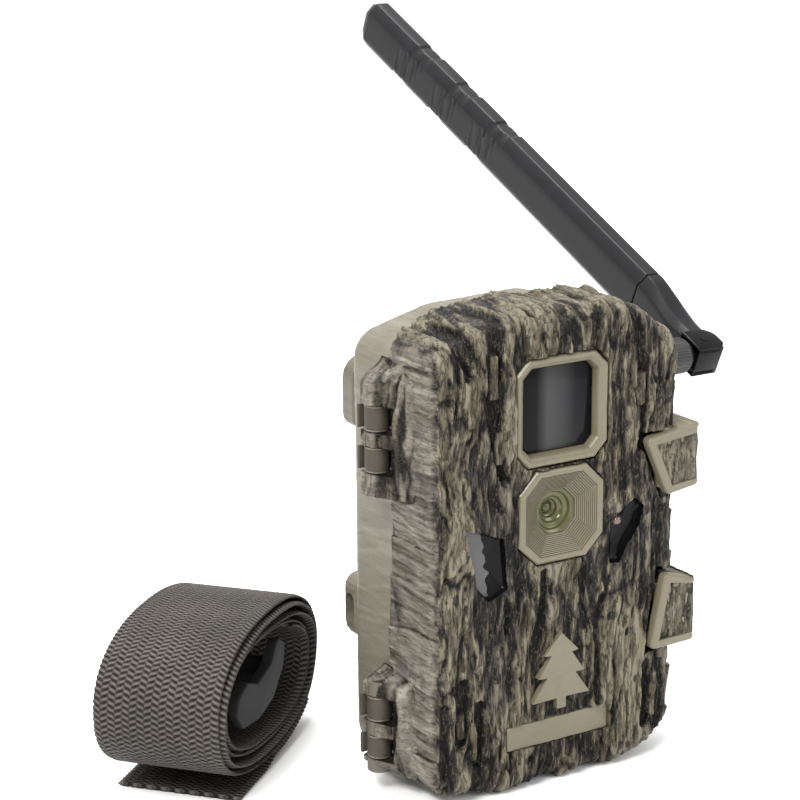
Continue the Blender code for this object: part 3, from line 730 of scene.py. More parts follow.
def polyline_distance(points, line):
    """(distance to an open line, share of the way along it), in the XZ plane."""
    line = np.asarray(line, float)
    best = np.full(len(points), np.inf)
    share = np.zeros(len(points))
    for k in range(len(line) - 1):
        a, d = line[k], line[k + 1] - line[k]
        t = np.clip((points - a) @ d / (d @ d), 0, 1)
        far = np.linalg.norm(points - a - t[:, None] * d, axis=1)
        closer = far < best
        best[closer] = far[closer]
        share[closer] = (k + t[closer]) / (len(line) - 1)
    return best, share


# Deep channels of the front: (line of (x, z) points, start half-width, end half-width, depth)
CHANNELS = [
    ([(-20.5, 150), (-22.5, 132), (-23.2, 118), (-21.8, 104), (-19.6, 95)], 2.6, 1.2, 2.45),
    ([(24.0, 150), (26.5, 134), (28.6, 118), (28.4, 108), (27.6, 97)], 2.2, 0.8, 2.3),
    ([(-34, 140), (-33.5, 132), (-31.5, 126)], 2.4, 1.0, 2.0),
    ([(-18.0, 57.5), (-18.1, 50)], 1.4, 1.3, 3.6),
    ([(-33, 36), (-33.5, 20)], 2.6, 2.2, 2.2),
    ([(-27.6, 30), (-27.8, 12)], 1.7, 1.5, 2.4),
    ([(-39.0, 31), (-39.2, 10)], 1.2, 1.2, 1.6),
    ([(31.0, 30), (30.4, 12)], 1.6, 1.4, 1.9),
    ([(36.6, 32), (36.4, 9)], 1.9, 1.9, 2.2),
    ([(17.5, 60), (12.5, 46), (14.0, 22)], 1.0, 1.3, 1.5),
    ([(-6.5, 66), (-6.0, 56), (-8.0, 44)], 1.2, 1.9, 1.6),
    ([(7.6, 66), (7.2, 54), (9.4, 47)], 1.0, 1.6, 1.6),
]
# Raised chips left standing in them: (x, low z, high z, half-width, height)
CHIPS = [
    (-23.0, 119, 131, 1.1, 2.4), (-20.9, 100, 109, 0.9, 2.0), (28.0, 110.5, 119.5, 0.9, 2.2),
    (-33.4, 21, 28, 0.9, 1.8), (-29.5, 14, 25, 0.7, 1.6), (34.0, 14, 27, 0.8, 1.2),
]


def bark_relief(p, n):
    """Bark over the cover: height in mm along the normal, tone, dark paint and side share."""
    sideways = step(0.50, 0.88, np.abs(n[:, 0]))
    warp = (fractal(p, (11, 40, 20), 1, 3) - 0.5) * 8
    q = p.copy()
    q[:, 0] += warp
    body = 0.70 * fractal(q, (5.0, 60, 34), 11, 3, 0.55) + 0.30 * fractal(q, (12, 70, 60), 12, 2)
    plates = step(0.462, 0.505, body)
    upper = step(0.535, 0.565, body)
    cracks = ridge(fractal(q, (4.6, 40, 15), 21, 2)) ** 10
    strands = ridge(fractal(q, (1.7, 22, 13), 31, 2))
    lumps = fractal(q, (2.0, 12, 9), 35, 3)
    fine = fractal(q, (0.9, 5, 4.2), 41, 2)
    pits = step(0.64, 0.76, noise(q, (1.5, 4, 3.0), 51))
    fibres = ridge(fractal(q, (1.15, 34, 12), 45, 2))
    swell = fractal(p, (26, 40, 30), 61, 2) - 0.5
    height = -1.15 + 1.15 * plates + 0.55 * upper + 1.1 * swell
    height += 1.25 * (strands - 0.5) * (1 - 0.45 * plates) + 0.35 * (fine - 0.5)
    height += 0.45 * (lumps - 0.5)
    height += 0.55 * (fibres - 0.6)
    height -= (0.9 * cracks + 0.45 * pits) * plates
    tone = 0.34 + 0.20 * plates + 0.20 * upper + 0.45 * (fine - 0.5) + 0.75 * (lumps - 0.5)
    tone += 0.85 * (strands - 0.50) * (1 - 0.6 * plates) - 0.45 * cracks - 0.30 * pits
    tone += 0.55 * (fibres - 0.6)
    # Painted highlight: a lighter tone along the edge of each plate
    rim = np.clip(1 - np.abs(body - 0.512) / 0.010, 0, 1)
    tone += 0.22 * rim
    streaks = step(0.52, 0.60, fractal(p, (11, 40, 34), 71, 2))
    paint = 0.62 * (1 - plates) + 0.75 * cracks + 0.50 * pits + 0.22 * streaks
    paint -= 0.75 * step(0.76, 0.92, strands) * (1 - plates) * (1 - 0.5 * streaks)
    paint += 0.9 * (0.40 - lumps) * plates

    drift = (fractal(p, (30, 44, 24), 81, 3) - 0.5) * 12
    level = (p[:, 2] + drift + 0.06 * p[:, 1]) / 12.5
    shelf = np.floor(level)
    rise = level - shelf
    lift = lattice(shelf.astype(np.int64), np.int64(3), np.int64(5), 91)
    s = p.copy()
    s[:, 2] += 0.6 * drift
    lines = fractal(s, (9, 17, 1.05), 101, 3, 0.65)
    scales = fractal(s, (9, 9, 3.6), 111, 2)
    side_height = -0.85 + (0.35 + 1.0 * lift) * rise**1.4 + 0.42 * (lines - 0.5) + 0.55 * (scales - 0.5)
    side_height += 0.9 * swell
    # Painted shade: darker tone and dark paint in the inner corner at each ledge step
    under = 1 - step(0.0, 0.06, rise)
    side_tone = 0.56 + 1.25 * (lines - 0.5) + 0.40 * (scales - 0.5) - 0.35 * under * lift
    # Painted highlight: the outer lip of each ledge is made lighter
    side_tone += 0.25 * step(0.93, 0.99, rise) * lift
    side_paint = 0.80 * under * step(0.25, 0.6, lift) + 0.62 * step(0.60, 0.72, scales) * (1 - lines)
    band = np.clip(1 - np.abs(np.abs(n[:, 0]) - 0.70) / 0.30, 0, 1)
    ragged = fractal(p, (8, 8, 5), 121, 3)
    side_paint = np.maximum(side_paint, band * step(0.38, 0.52, ragged) * 0.95)
    back = step(-9.5, -4.0, p[:, 1]) * step(0.47, 0.60, fractal(p, (7, 6, 11), 131, 2))
    side_paint = np.maximum(side_paint, 0.58 * back)

    # Painted light: faces that look upwards get a lighter tone and less dark paint
    lit_from_above = step(0.15, 0.8, n[:, 2])
    paint = paint - 0.26 * lit_from_above
    tone = tone + 0.20 * lit_from_above
    height = height * (1 - sideways) + side_height * sideways
    tone = tone * (1 - sideways) + side_tone * sideways
    paint = paint * (1 - sideways) + side_paint * sideways

    flat = p[:, [0, 2]]
    reach = step(-4.0, -12.0, p[:, 1]) * (1 - sideways)
    for line, first, last, depth in CHANNELS:
        far, share = polyline_distance(flat, line)
        half = first + (last - first) * share + 1.6 * (fractal(p, (3.5, 9, 4.5), 141, 2) - 0.5)
        cut = step(1.18, 0.85, far / np.maximum(half, 0.3)) * reach
        height = height * (1 - cut) - depth * cut + 0.5 * (strands - 0.5) * cut
        paint = np.maximum(paint, 1.25 * cut)
        tone = tone * (1 - 0.55 * cut)
    for x, low, high, half, tall in CHIPS:
        chip = step(half + 0.45, half, np.abs(flat[:, 0] - x + 0.06 * warp))
        chip = chip * step(low - 0.5, low, flat[:, 1]) * step(high + 0.5, high, flat[:, 1]) * reach
        height += tall * chip
        paint = paint * (1 - 0.85 * chip)
        tone = tone * (1 - chip) + (0.58 + 0.6 * (fine - 0.5)) * chip
    deepest = -2.65 + 0.35 * step(0.2, 0.8, 1 + n[:, 1])
    return np.clip(height, deepest, 1.1), tone, paint, sideways


def wood_relief(p, n):
    """Faint wavy wood grain over the housing."""
    drift = (fractal(p, (24, 30, 22), 201, 2) - 0.5) * 12
    s = p.copy()
    s[:, 2] += drift + 0.12 * p[:, 1]
    s[:, 0] += drift
    upright = step(0.5, 0.85, np.abs(n[:, 2]))
    lines = fractal(s, (70, 34, 3.0), 211, 3, 0.6) * (1 - upright)
    lines = lines + fractal(s, (3.2, 34, 90), 221, 3, 0.6) * upright
    swell = fractal(p, (34, 34, 30), 231, 2)
    notch = ridge(lines) ** 10
    height = 0.22 + 0.30 * (lines - 0.5) + 0.5 * (swell - 0.5) - 0.12 * notch
    return np.clip(height, 0.04, 0.8), lines - 0.45 * notch, 0 * lines, 0 * lines


def displaced(points, normals, relief):
    height, tone, paint, sideways = relief(points, normals)
    return points + normals * height[:, None], (tone, paint, sideways)


def cut_holes(points, quads, holes):
    """Removes quads inside each hole, draws its rim onto the hole's outline and adds walls.

    holes are (outline in XZ, condition on points, back Y or None). Returns points, faces and,
    for each added point, the point whose values it takes.
    """
    source = np.arange(len(points))
    walls = []
    for outline, applies, back in holes:
        centre = points[quads].mean(axis=1)
        gone = inside(centre[:, [0, 2]], outline) & applies(centre)
        rim = np.intersect1d(np.unique(quads[gone]), np.unique(quads[~gone]))
        quads = quads[~gone]
        spot, far = nearest_on(points[rim][:, [0, 2]], outline)
        near = far < 0.75
        points[rim[near], 0] = spot[near, 0]
        points[rim[near], 2] = spot[near, 1]
        rims = set(rim.tolist())
        edges = np.concatenate([quads[:, [k, (k + 1) % 4]] for k in range(4)])
        edges = edges[np.isin(edges[:, 0], rim) & np.isin(edges[:, 1], rim)]
        seen = {(a, b) for a, b in edges.tolist()}
        open_edges = [(a, b) for a, b in seen if (b, a) not in seen and a in rims and b in rims]
        walls.append((open_edges, back))
    extra, faces = [], []
    count = len(points)
    for open_edges, back in walls:
        twins = {}
        for a, b in sorted(open_edges):
            for v in (a, b):
                if v not in twins:
                    top = count + len(extra)
                    extra.append(points[v])
                    low = points[v].copy()
                    low[1] = max(back, low[1] + 0.05)
                    extra.append(low)
                    source = np.concatenate([source, [v, v]])
                    twins[v] = (top, top + 1)
            faces.append((twins[b][0], twins[a][0], twins[a][1], twins[b][1]))
    if extra:
        points = np.concatenate([points, np.array(extra)])
    faces = quads.tolist() + faces
    return points, faces, source


def skin(name, points, faces, values, source=None):
    source = np.arange(len(points)) if source is None else source
    piece = mesh_object(name, points, faces)
    relief, dark, side = (value[source] for value in values)
    add_values(piece, relief=relief, dark=dark, side=side)
    return piece


def clean(piece):
    """Drops loose points left where holes were cut."""
    bm = bmesh.new()
    bm.from_mesh(piece.data)
    bmesh.ops.delete(bm, geom=[v for v in bm.verts if not v.link_faces], context="VERTS")
    bm.to_mesh(piece.data)
    bm.free()
    return piece


def edge_profile(loop, normals, start, wave, face_y, radius, rows, direction):
    """Rows of points and normals from the seam round to the flat face; make_skin adds the turned-in lip."""
    straight = abs(face_y - start) - radius
    total = straight + radius * math.pi / 2
    points, directions = [], []
    out = xyz(normals[:, 0], 0.0, normals[:, 1])
    base = xyz(loop[:, 0], 0.0, loop[:, 1])
    for k in range(rows + 1):
        s = total * k / rows
        if s <= straight:
            y = start + direction * s
            y = y + wave * (1 - s / straight) ** 3
            spot = base.copy()
            spot[:, 1] = y
            points.append(spot)
            directions.append(out)
        else:
            a = (s - straight) / radius
            spot = base - out * radius * (1 - math.cos(a))
            spot[:, 1] = face_y - direction * radius * (1 - math.sin(a))
            points.append(spot)
            directions.append(out * math.cos(a) + np.array([0, direction * math.sin(a), 0]))
    return points, directions


def make_skin(
    name, corners, ends, counts, seam, face_y, radius, rows, relief, holes, side_holes, wave=None
):
    """Face and edge of one moulding, as two pieces that share their border."""
    direction = -1 if face_y < seam else 1
    loop = boundary_sides(corners, ends, counts)
    normals = loop_normals(loop)
    wave = np.zeros(len(loop)) if wave is None else wave(loop)
    points, directions = edge_profile(loop, normals, seam, wave, face_y, radius, rows, direction)
    ring = np.concatenate(points)
    out = np.concatenate(directions)
    count = len(loop)
    inset = points[-1][:, [0, 2]]
    grid = coons(inset, counts)
    face = xyz(grid[:, 0], float(face_y), grid[:, 1])
    facing = np.tile([0.0, float(direction), 0.0], (len(face), 1))

    ring, ring_values = displaced(ring, out, relief)
    lip = []
    lip_source = np.tile(np.arange(count), 2)
    for depth, forward in ((1.5, 0.0), (1.5, 2.2)):
        row = ring[:count] - np.concatenate(directions[:1]) * depth
        row[:, 1] += direction * forward
        lip.append(row)
    ring_all = np.concatenate([lip[1], lip[0], ring])
    source = np.concatenate([lip_source, np.arange(len(ring))])
    quads = grid_faces(rows + 3, count, wrap=True)
    if direction < 0:
        quads = quads[:, ::-1]
    cut_points, faces, more = cut_holes(ring_all, quads, side_holes)
    edge_piece = clean(skin(name + "_edge", cut_points, faces, ring_values, source[more]))

    face, face_values = displaced(face, facing, relief)
    quads = grid_faces(counts[1] + 1, counts[0] + 1)
    if direction > 0:
        quads = quads[:, ::-1]
    cut_points, faces, more = cut_holes(face, quads, holes)
    face_piece = clean(skin(name + "_face", cut_points, faces, face_values, more))
    return face_piece, edge_piece


def everywhere(points):
    return np.ones(len(points), bool)


def latch_recess(latch, margin=1.3):
    return [(x if x < 42 else 60.0, z) for x, z in grown(latch, margin)]


def seam_wave(loop):
    """How far the cover's ragged rear edge laps over the housing."""
    p = xyz(loop[:, 0], 0.0, loop[:, 1])
    sway = fractal(p, (30, 30, 24), 301, 2) * 4.6 - 0.4
    rough = (fractal(p, (4, 4, 4), 311, 2) - 0.5) * 0.9
    clear = np.ones(len(loop))
    clear[(loop[:, 0] > 30) & (np.abs(loop[:, 1] - ANT_Z) < 12)] = 0
    clear[(loop[:, 0] < -38) & (loop[:, 1] > 86) & (loop[:, 1] < 126)] = 0.1
    clear[(loop[:, 0] < -38) & (loop[:, 1] > 4) & (loop[:, 1] < 37)] = 0.1
    clear[(loop[:, 0] > 38) & (np.abs(loop[:, 1] - 92.5) < 14)] = 0.1
    clear[(loop[:, 0] > 38) & (np.abs(loop[:, 1] - 45) < 16)] = 0.1
    return np.clip(sway + rough, 0, 3.6) * clear


def inner_shell(name, source):
    """Copy of the cover's moulding without its outside, which the bark skin replaces."""
    mesh = NODES[source].data.copy()
    piece = linked(name, mesh)
    outline = rounded(COVER_CORNERS, 12)
    spots = np.array([v.co[:] for v in mesh.vertices]) / MM
    near, far = nearest_on(spots[:, [0, 2]], outline)
    edge = np.hypot(np.maximum(0, 4 - far), np.minimum(0, spots[:, 1] - (FRONT_Y + 4)))
    outer = (spots[:, 1] < FRONT_Y + 0.1) | ((far < 0.12) & (spots[:, 1] < SEAM_Y)) | (
        (far < 4.05) & (spots[:, 1] < FRONT_Y + 4.05) & (edge > 3.6)
    )
    outer &= inside(spots[:, [0, 2]], grown(outline, 0.4))
    corner = (np.abs(far - 2.4) < 0.15) & (spots[:, 1] < FRONT_Y + 3.2) & ~outer
    pull = (spots[:, [0, 2]] - near) / np.maximum(far, 1e-6)[:, None] * 1.8
    bm = bmesh.new()
    bm.from_mesh(mesh)
    bm.verts.ensure_lookup_table()
    for i in np.flatnonzero(corner):
        bm.verts[i].co += Vector((pull[i, 0], 0, pull[i, 1])) * MM
    bmesh.ops.delete(bm, geom=[bm.verts[i] for i in np.flatnonzero(outer)], context="VERTS")
    bm.to_mesh(mesh)
    bm.free()
    return piece


def make_cover(looks):
    half = (31.7 + 0.6) / 2
    wide, tall, middle = NAME_PLATE
    w, t = wide / 2 + 0.3, tall / 2 + 0.3
    plate_outline = [(-w, middle - t), (w, middle - t), (w, middle + t), (-w, middle + t)]
    holes = [
        (octagon(2 * half, 2 * half, 4.5, WINDOW_Z), everywhere, -20.0),
        (octagon(29.6, 28.2, 6, PLAQUE_Z), everywhere, -22.0),
        (LEFT_OPENING, everywhere, -21.6),
        (RIGHT_OPENING, everywhere, -21.6),
        (plate_outline, everywhere, -24.2),
    ]
    recesses = [(latch_recess(latch), everywhere, -19.0) for latch in (UPPER_LATCH, LOWER_LATCH)]
    forward = lambda p: p[:, 1] < -17.5
    side_holes = [(latch_recess(latch, 0.6), forward, -17.4) for latch in (UPPER_LATCH, LOWER_LATCH)]
    notch = [(38, ANT_Z - 8), (60, ANT_Z - 8), (60, ANT_Z + 8), (38, ANT_Z + 8)]
    side_holes.append((notch, lambda p: p[:, 1] > -8.0, 0.0))
    face, edge = make_skin(
        "cover_bark", COVER_CORNERS, (0, 3, 4, 8), (236, 388), SEAM_Y - 0.15, FRONT_Y, 5.6, 66,
        bark_relief, holes + recesses, side_holes, seam_wave,
    )
    for piece in (face, edge):
        finish_piece(piece, looks["bark"], "cover", "bark")
    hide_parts("front_cover")
    shell = inner_shell("cover_inner_shell", "front_cover")
    finish_piece(shell, looks["dark_olive"], "cover", "bark", "front_cover")


def make_housing(looks):
    face, edge = make_skin(
        "housing_wood", HOUSING_CORNERS, (0, 3, 4, 7), (120, 190), SEAM_Y + 0.2, BACK_Y, 6.8, 60,
        wood_relief, [], side_holes_of_housing(),
    )
    for piece in (face, edge):
        finish_piece(piece, looks["wood"], "housing", "housing")


def side_holes_of_housing():
    """Openings of the rear housing's edge: tripod socket, power socket and antenna boss."""
    y, z = 15.0, 22.0
    right = lambda p: (p[:, 0] > 30) & (np.hypot(p[:, 1] - y, p[:, 2] - z) < 4.5)
    below = lambda p: (p[:, 2] < 5) & (np.hypot(p[:, 0], p[:, 1] - 9.5) < 5.4)
    boss = lambda p: (p[:, 0] > 30) & (p[:, 1] < 7.2) & (np.abs(p[:, 2] - ANT_Z) < 7.2)
    box = [(-60, -10), (60, -10), (60, 160), (-60, 160)]
    return [(box, condition, -60.0) for condition in (right, below, boss)]


def make_knuckles(looks):
    """Bark-covered hinge blocks, each with two windows where the housing's barrels show."""
    profile = np.array([
        (-41.6, -14.5), (-42.9, -13.4), (-44.4, -11.2), (-46.4, -8.4), (-49.0, -4.6), (-50.2, -1.0),
        (-49.9, 1.8), (-47.6, 3.0), (-44.6, 2.8), (-42.9, 1.2), (-42.2, -1.4), (-41.6, -2.5),
    ])
    line = resampled(profile, 64)
    tangent = np.gradient(line, axis=0)
    tangent /= np.linalg.norm(tangent, axis=1, keepdims=True)
    away = np.stack([-tangent[:, 1], tangent[:, 0]], axis=1)
    if away[20, 0] > 0:
        away = -away
    blocks = [
        (89.5, 122.5, [(96.1, 103.9), (108.1, 115.9)], 5.5, 0.0),
        (6.0, 33.5, [(10.1, 17.4), (21.6, 29.4)], 3.0, 3.0),
    ]
    for number, (low, high, windows, top, bottom) in enumerate(blocks):
        levels = np.linspace(low, high + top, int((high + top - low) / 0.4))
        marks = [m + d for window in windows for m in window for d in (-0.03, 0.03)]
        levels = np.sort(np.concatenate([levels, marks]))
        rows, outs = [], []
        for z in levels:
            open_here = any(a < z < b for a, b in windows)
            shrink = 1 - 0.92 * step(high - 1.5, high + top, z) ** 1.5
            if bottom:
                shrink = min(shrink, 1 - 0.45 * step(low + bottom, low, z))
            x = -41.6 + (line[:, 0] + 41.6) * shrink
            y = line[:, 1] + 2.0 * step(high, high + top, z) * step(-2, -10, line[:, 1])
            if open_here:
                y = np.minimum(y, -8.6)
                x = np.where(line[:, 1] > -8.6, np.maximum(x, -46.0), x)
            rows.append(xyz(x, y, z))
            outs.append(xyz(away[:, 0], away[:, 1], 0.0))
        points, out = np.concatenate(rows), np.concatenate(outs)
        warp = (fractal(points, (5, 5, 12), 401, 2) - 0.5) * 6
        q = points.copy()
        q[:, 1] += warp
        folds = fractal(q, (4.0, 2.4, 16), 411, 3)
        fine = fractal(q, (2, 0.9, 4), 421, 2)
        creases = ridge(fractal(q, (5, 3.0, 20), 431, 2)) ** 8
        height = -0.25 + 1.8 * (folds - 0.5) + 0.5 * (fine - 0.5) - 0.7 * creases
        rear = step(0.2, 2.2, np.tile(line[:, 1], len(levels)))
        height = np.clip(height * (1 - rear), -1.3, 0.55)
        shut = (np.tile(line[:, 1], len(levels)) > -8.8) & (points[:, 1] <= -8.5)
        height = np.where(shut, 0, height)
        points = points + out * height[:, None]
        count = len(line)
        faces = grid_faces(len(levels), count)
        caps = [list(range(count)), list(range(count * (len(levels) - 1), count * len(levels)))[::-1]]
        piece = mesh_object(f"hinge_bark_{number + 1}", points, faces.tolist() + caps)
        tone = 0.50 + 0.9 * (folds - 0.5) + 0.6 * (fine - 0.5) - 0.3 * creases
        dark = 0.75 * step(0.50, 0.40, folds) * step(-7, -11, points[:, 1]) + 0.6 * creases
        dark = np.maximum(dark, 0.4 * step(0.5, 0.36, folds))
        # Painted shade: the inside wall of each window gets full dark paint
        dark = np.where(shut, 1.2, dark)
        add_values(piece, relief=tone, dark=dark, side=1.0)
        tidy_mesh(piece, 60)
        finish_piece(piece, looks["bark"], "cover", "bark")


def make_barrels(looks):
    """Smooth housing barrels seen in the hinge's windows, with a raised rim behind each."""
    gap = 0.25
    spans = [(108.4, 115.6), (96.4, 103.6), (21.9, 29.1), (10.4, 17.1)]
    for number, (low, high) in enumerate(spans):
        low, high = low + gap, high - gap
        profile = ring_profile(1.75, 3.65, low, high, 0.25)
        piece = lathe(f"hinge_barrel_{number + 1}", profile, 64, place_at(*HINGE_XY, 0))
        rim = block(f"hinge_rim_{number + 1}", (-50.2, 2.0, low), (-45.5, 3.1, high), 0.35)
        # The dark barrel look is painted shade from the windows round the barrels
        for part in (piece, rim):
            finish_piece(part, looks["barrel"], "housing", "housing")


def make_frame(looks):
    """Window frame: raised inner bead, sloping rim and chamfered corners."""
    rings = [
        (31.6, 4.40, -18.6), (31.6, 4.40, -24.4), (31.2, 4.28, -25.0), (30.4, 4.10, -25.45),
        (29.4, 3.85, -25.6), (28.4, 3.60, -25.5), (27.6, 3.40, -25.15), (27.0, 3.22, -24.9),
        (26.4, 3.05, -24.75), (25.8, 2.90, -24.4), (25.3, 2.78, -23.6), (24.9, 2.66, -22.6),
        (24.7, 2.60, -18.6),
    ]
    rows = []
    for size, chamfer, y in rings:
        outline = np.array(rounded([(x, z, 0.7) for x, z in octagon(size, size, chamfer, WINDOW_Z)], 5))
        rows.append(xyz(outline[:, 0], y, outline[:, 1]))
    points = np.concatenate(rows + rows[:1])
    count = len(rows[0])
    faces = grid_faces(len(rows) + 1, count, wrap=True)
    piece = mesh_object("window_rim", points, faces)
    tidy_mesh(piece, 28)
    finish_piece(piece, looks["olive"], "cover", "olive", "window_frame")

    glass = slab("infrared_glass", octagon(24.3, 24.3, 2.45, WINDOW_Z), -22.3, -21.2, 0.25, 3)
    finish_piece(glass, looks["dark_window"], "cover", "dark_glass", "led_window")


def make_plaque(looks):
    """Octagonal lens surround: a shallow funnel with fine concentric steps."""
    outer, inner = (28.8, 27.4, 5.9), (12.9, 12.9, 3.7)
    rings = [(1.0, -21.4), (1.0, -25.3), (0.985, -25.65), (0.955, -25.85)]
    steps = 12
    rows = []
    for share, y in rings:
        w, h, c = (v * share for v in outer)
        rows.append((w, h, c, y))
    rows.append((outer[0] * 0.885, outer[1] * 0.885, outer[2] * 0.90, -25.9))
    for k in range(steps):
        for along, sink in ((k / steps, 0.0), ((k + 0.50) / steps, 0.0), ((k + 0.60) / steps, 0.42),
                            ((k + 0.92) / steps, 0.42)):
            w = 25.0 + (inner[0] - 25.0) * along
            h = 24.0 + (inner[1] - 24.0) * along
            c = 5.2 + (inner[2] - 5.2) * along
            rows.append((w, h, c, -25.75 + 3.3 * along + sink))
    rows.append((*inner, -22.3))
    rows.append((*inner, -21.4))
    loops = []
    for w, h, c, y in rows:
        outline = np.array(octagon(w, h, c, PLAQUE_Z))
        loops.append(xyz(outline[:, 0], y, outline[:, 1]))
    points = np.concatenate(loops + loops[:1])
    piece = mesh_object("lens_surround", points, grid_faces(len(loops) + 1, 8, wrap=True))
    tidy_mesh(piece, 20)
    finish_piece(piece, looks["olive"], "cover", "olive", "lens_plaque")

    place = place_at(0, -21.6, PLAQUE_Z, "-Y")
    cells = [
        (7.2, 0.2), (6.5, 0.1), (5.7, -0.3), (5.3, -1.1), (5.1, -1.2), (4.8, -1.25), (4.1, -1.5),
        (3.7, -2.2), (3.5, -2.3), (3.3, -2.35), (2.8, -2.6), (2.5, -3.3), (2.3, -3.4), (2.1, -3.45),
        (1.7, -3.9), (1.7, -7.0), (7.2, -7.0), (7.2, 0.2),
    ]
    rings = lathe("lens_cell", cells, 72, place)
    finish_piece(rings, looks["lens_ring"], "cover", "lens")
    dome = [(0.0, -3.1), (0.7, -3.2), (1.3, -3.5), (1.75, -4.1), (1.75, -6.5), (0.0, -6.5)]
    glass = lathe("lens_dome", dome, 48, place)
    finish_piece(glass, looks["lens_front"], "cover", "lens", "lens_glass")


def make_wells(looks):
    """Smooth wells behind the two ragged side openings, and the lamp in the right one."""
    for name, outline in (("sensor_well", LEFT_OPENING), ("lamp_well", RIGHT_OPENING)):
        line = resampled(np.array(list(outline) + [outline[0]]), 90)[:-1]
        spots = xyz(line[:, 0], 0.0, line[:, 1])
        jag = (fractal(spots, (1.6, 1.6, 1.6), 501, 2) - 0.5) * 1.3
        middle = line.mean(axis=0)
        rows = []
        for shrink, y in ((0.0, -25.0), (0.02, -24.0), (0.05, -23.2), (0.12, -22.7), (0.99, -22.5)):
            ring = line + (middle - line) * (shrink + 0.035 * jag[:, None])
            rows.append(xyz(ring[:, 0], y, ring[:, 1]))
        points = np.concatenate(rows)
        piece = mesh_object(name, points, grid_faces(len(rows), len(line), wrap=True))
        tidy_mesh(piece, 50)
        # The near-black lining is painted shade: it stands for the shadow inside the openings
        finish_piece(piece, looks["gloss_black"], "cover", "black")
    ragged = np.linspace(60.5, 83.0, 46)
    edge = xyz(-25.4 + 0.12 * (80 - ragged), 0.0, ragged)
    edge[:, 0] += (fractal(edge, (2.2, 2.2, 2.2), 511, 2) - 0.5) * 2.6
    film = [(x, z) for x, _, z in edge] + [(-34.0, 84.0), (-34.0, 70.0), (-31.0, 60.0)]
    film = slab("sensor_film", film, -23.0, -22.7)
    finish_piece(film, looks["pir"], "cover", "pir")
    lamp = lathe(
        "status_lamp", [(0, 2.6), (0.6, 2.5), (1.1, 2.1), (1.4, 1.4), (1.45, 0.0), (0, 0)], 40,
        place_at(20.4, -22.6, 76.2, "-Y"),
    )
    finish_piece(lamp, looks["clear"], "cover", "clear", "status_led")


def make_badge(looks):
    tiers = [(1.6, -11.5), (1.6, -8.2), (10, -8.4), (5.0, -1.4), (8, -1.2), (3.6, 5.2), (6, 5.4)]
    tree = tiers + [(0, 11.6)] + [(-x, z) for x, z in reversed(tiers)]
    piece = slab("tree_emblem", [(x, z + BADGE_Z) for x, z in tree], -26.7, -23.9, 0.28, 3)
    finish_piece(piece, looks["olive"], "cover", "olive", "tree_badge")
    wide, tall, middle = NAME_PLATE
    corners = [(-wide / 2, middle - tall / 2, 0.8), (wide / 2, middle - tall / 2, 0.8),
               (wide / 2, middle + tall / 2, 0.8), (-wide / 2, middle + tall / 2, 0.8)]
    label = slab("blank_plate", rounded(corners, 6), -24.85, -24.0, 0.25, 3)
    finish_piece(label, looks["olive"], "cover", "olive", "blank_name_plate")


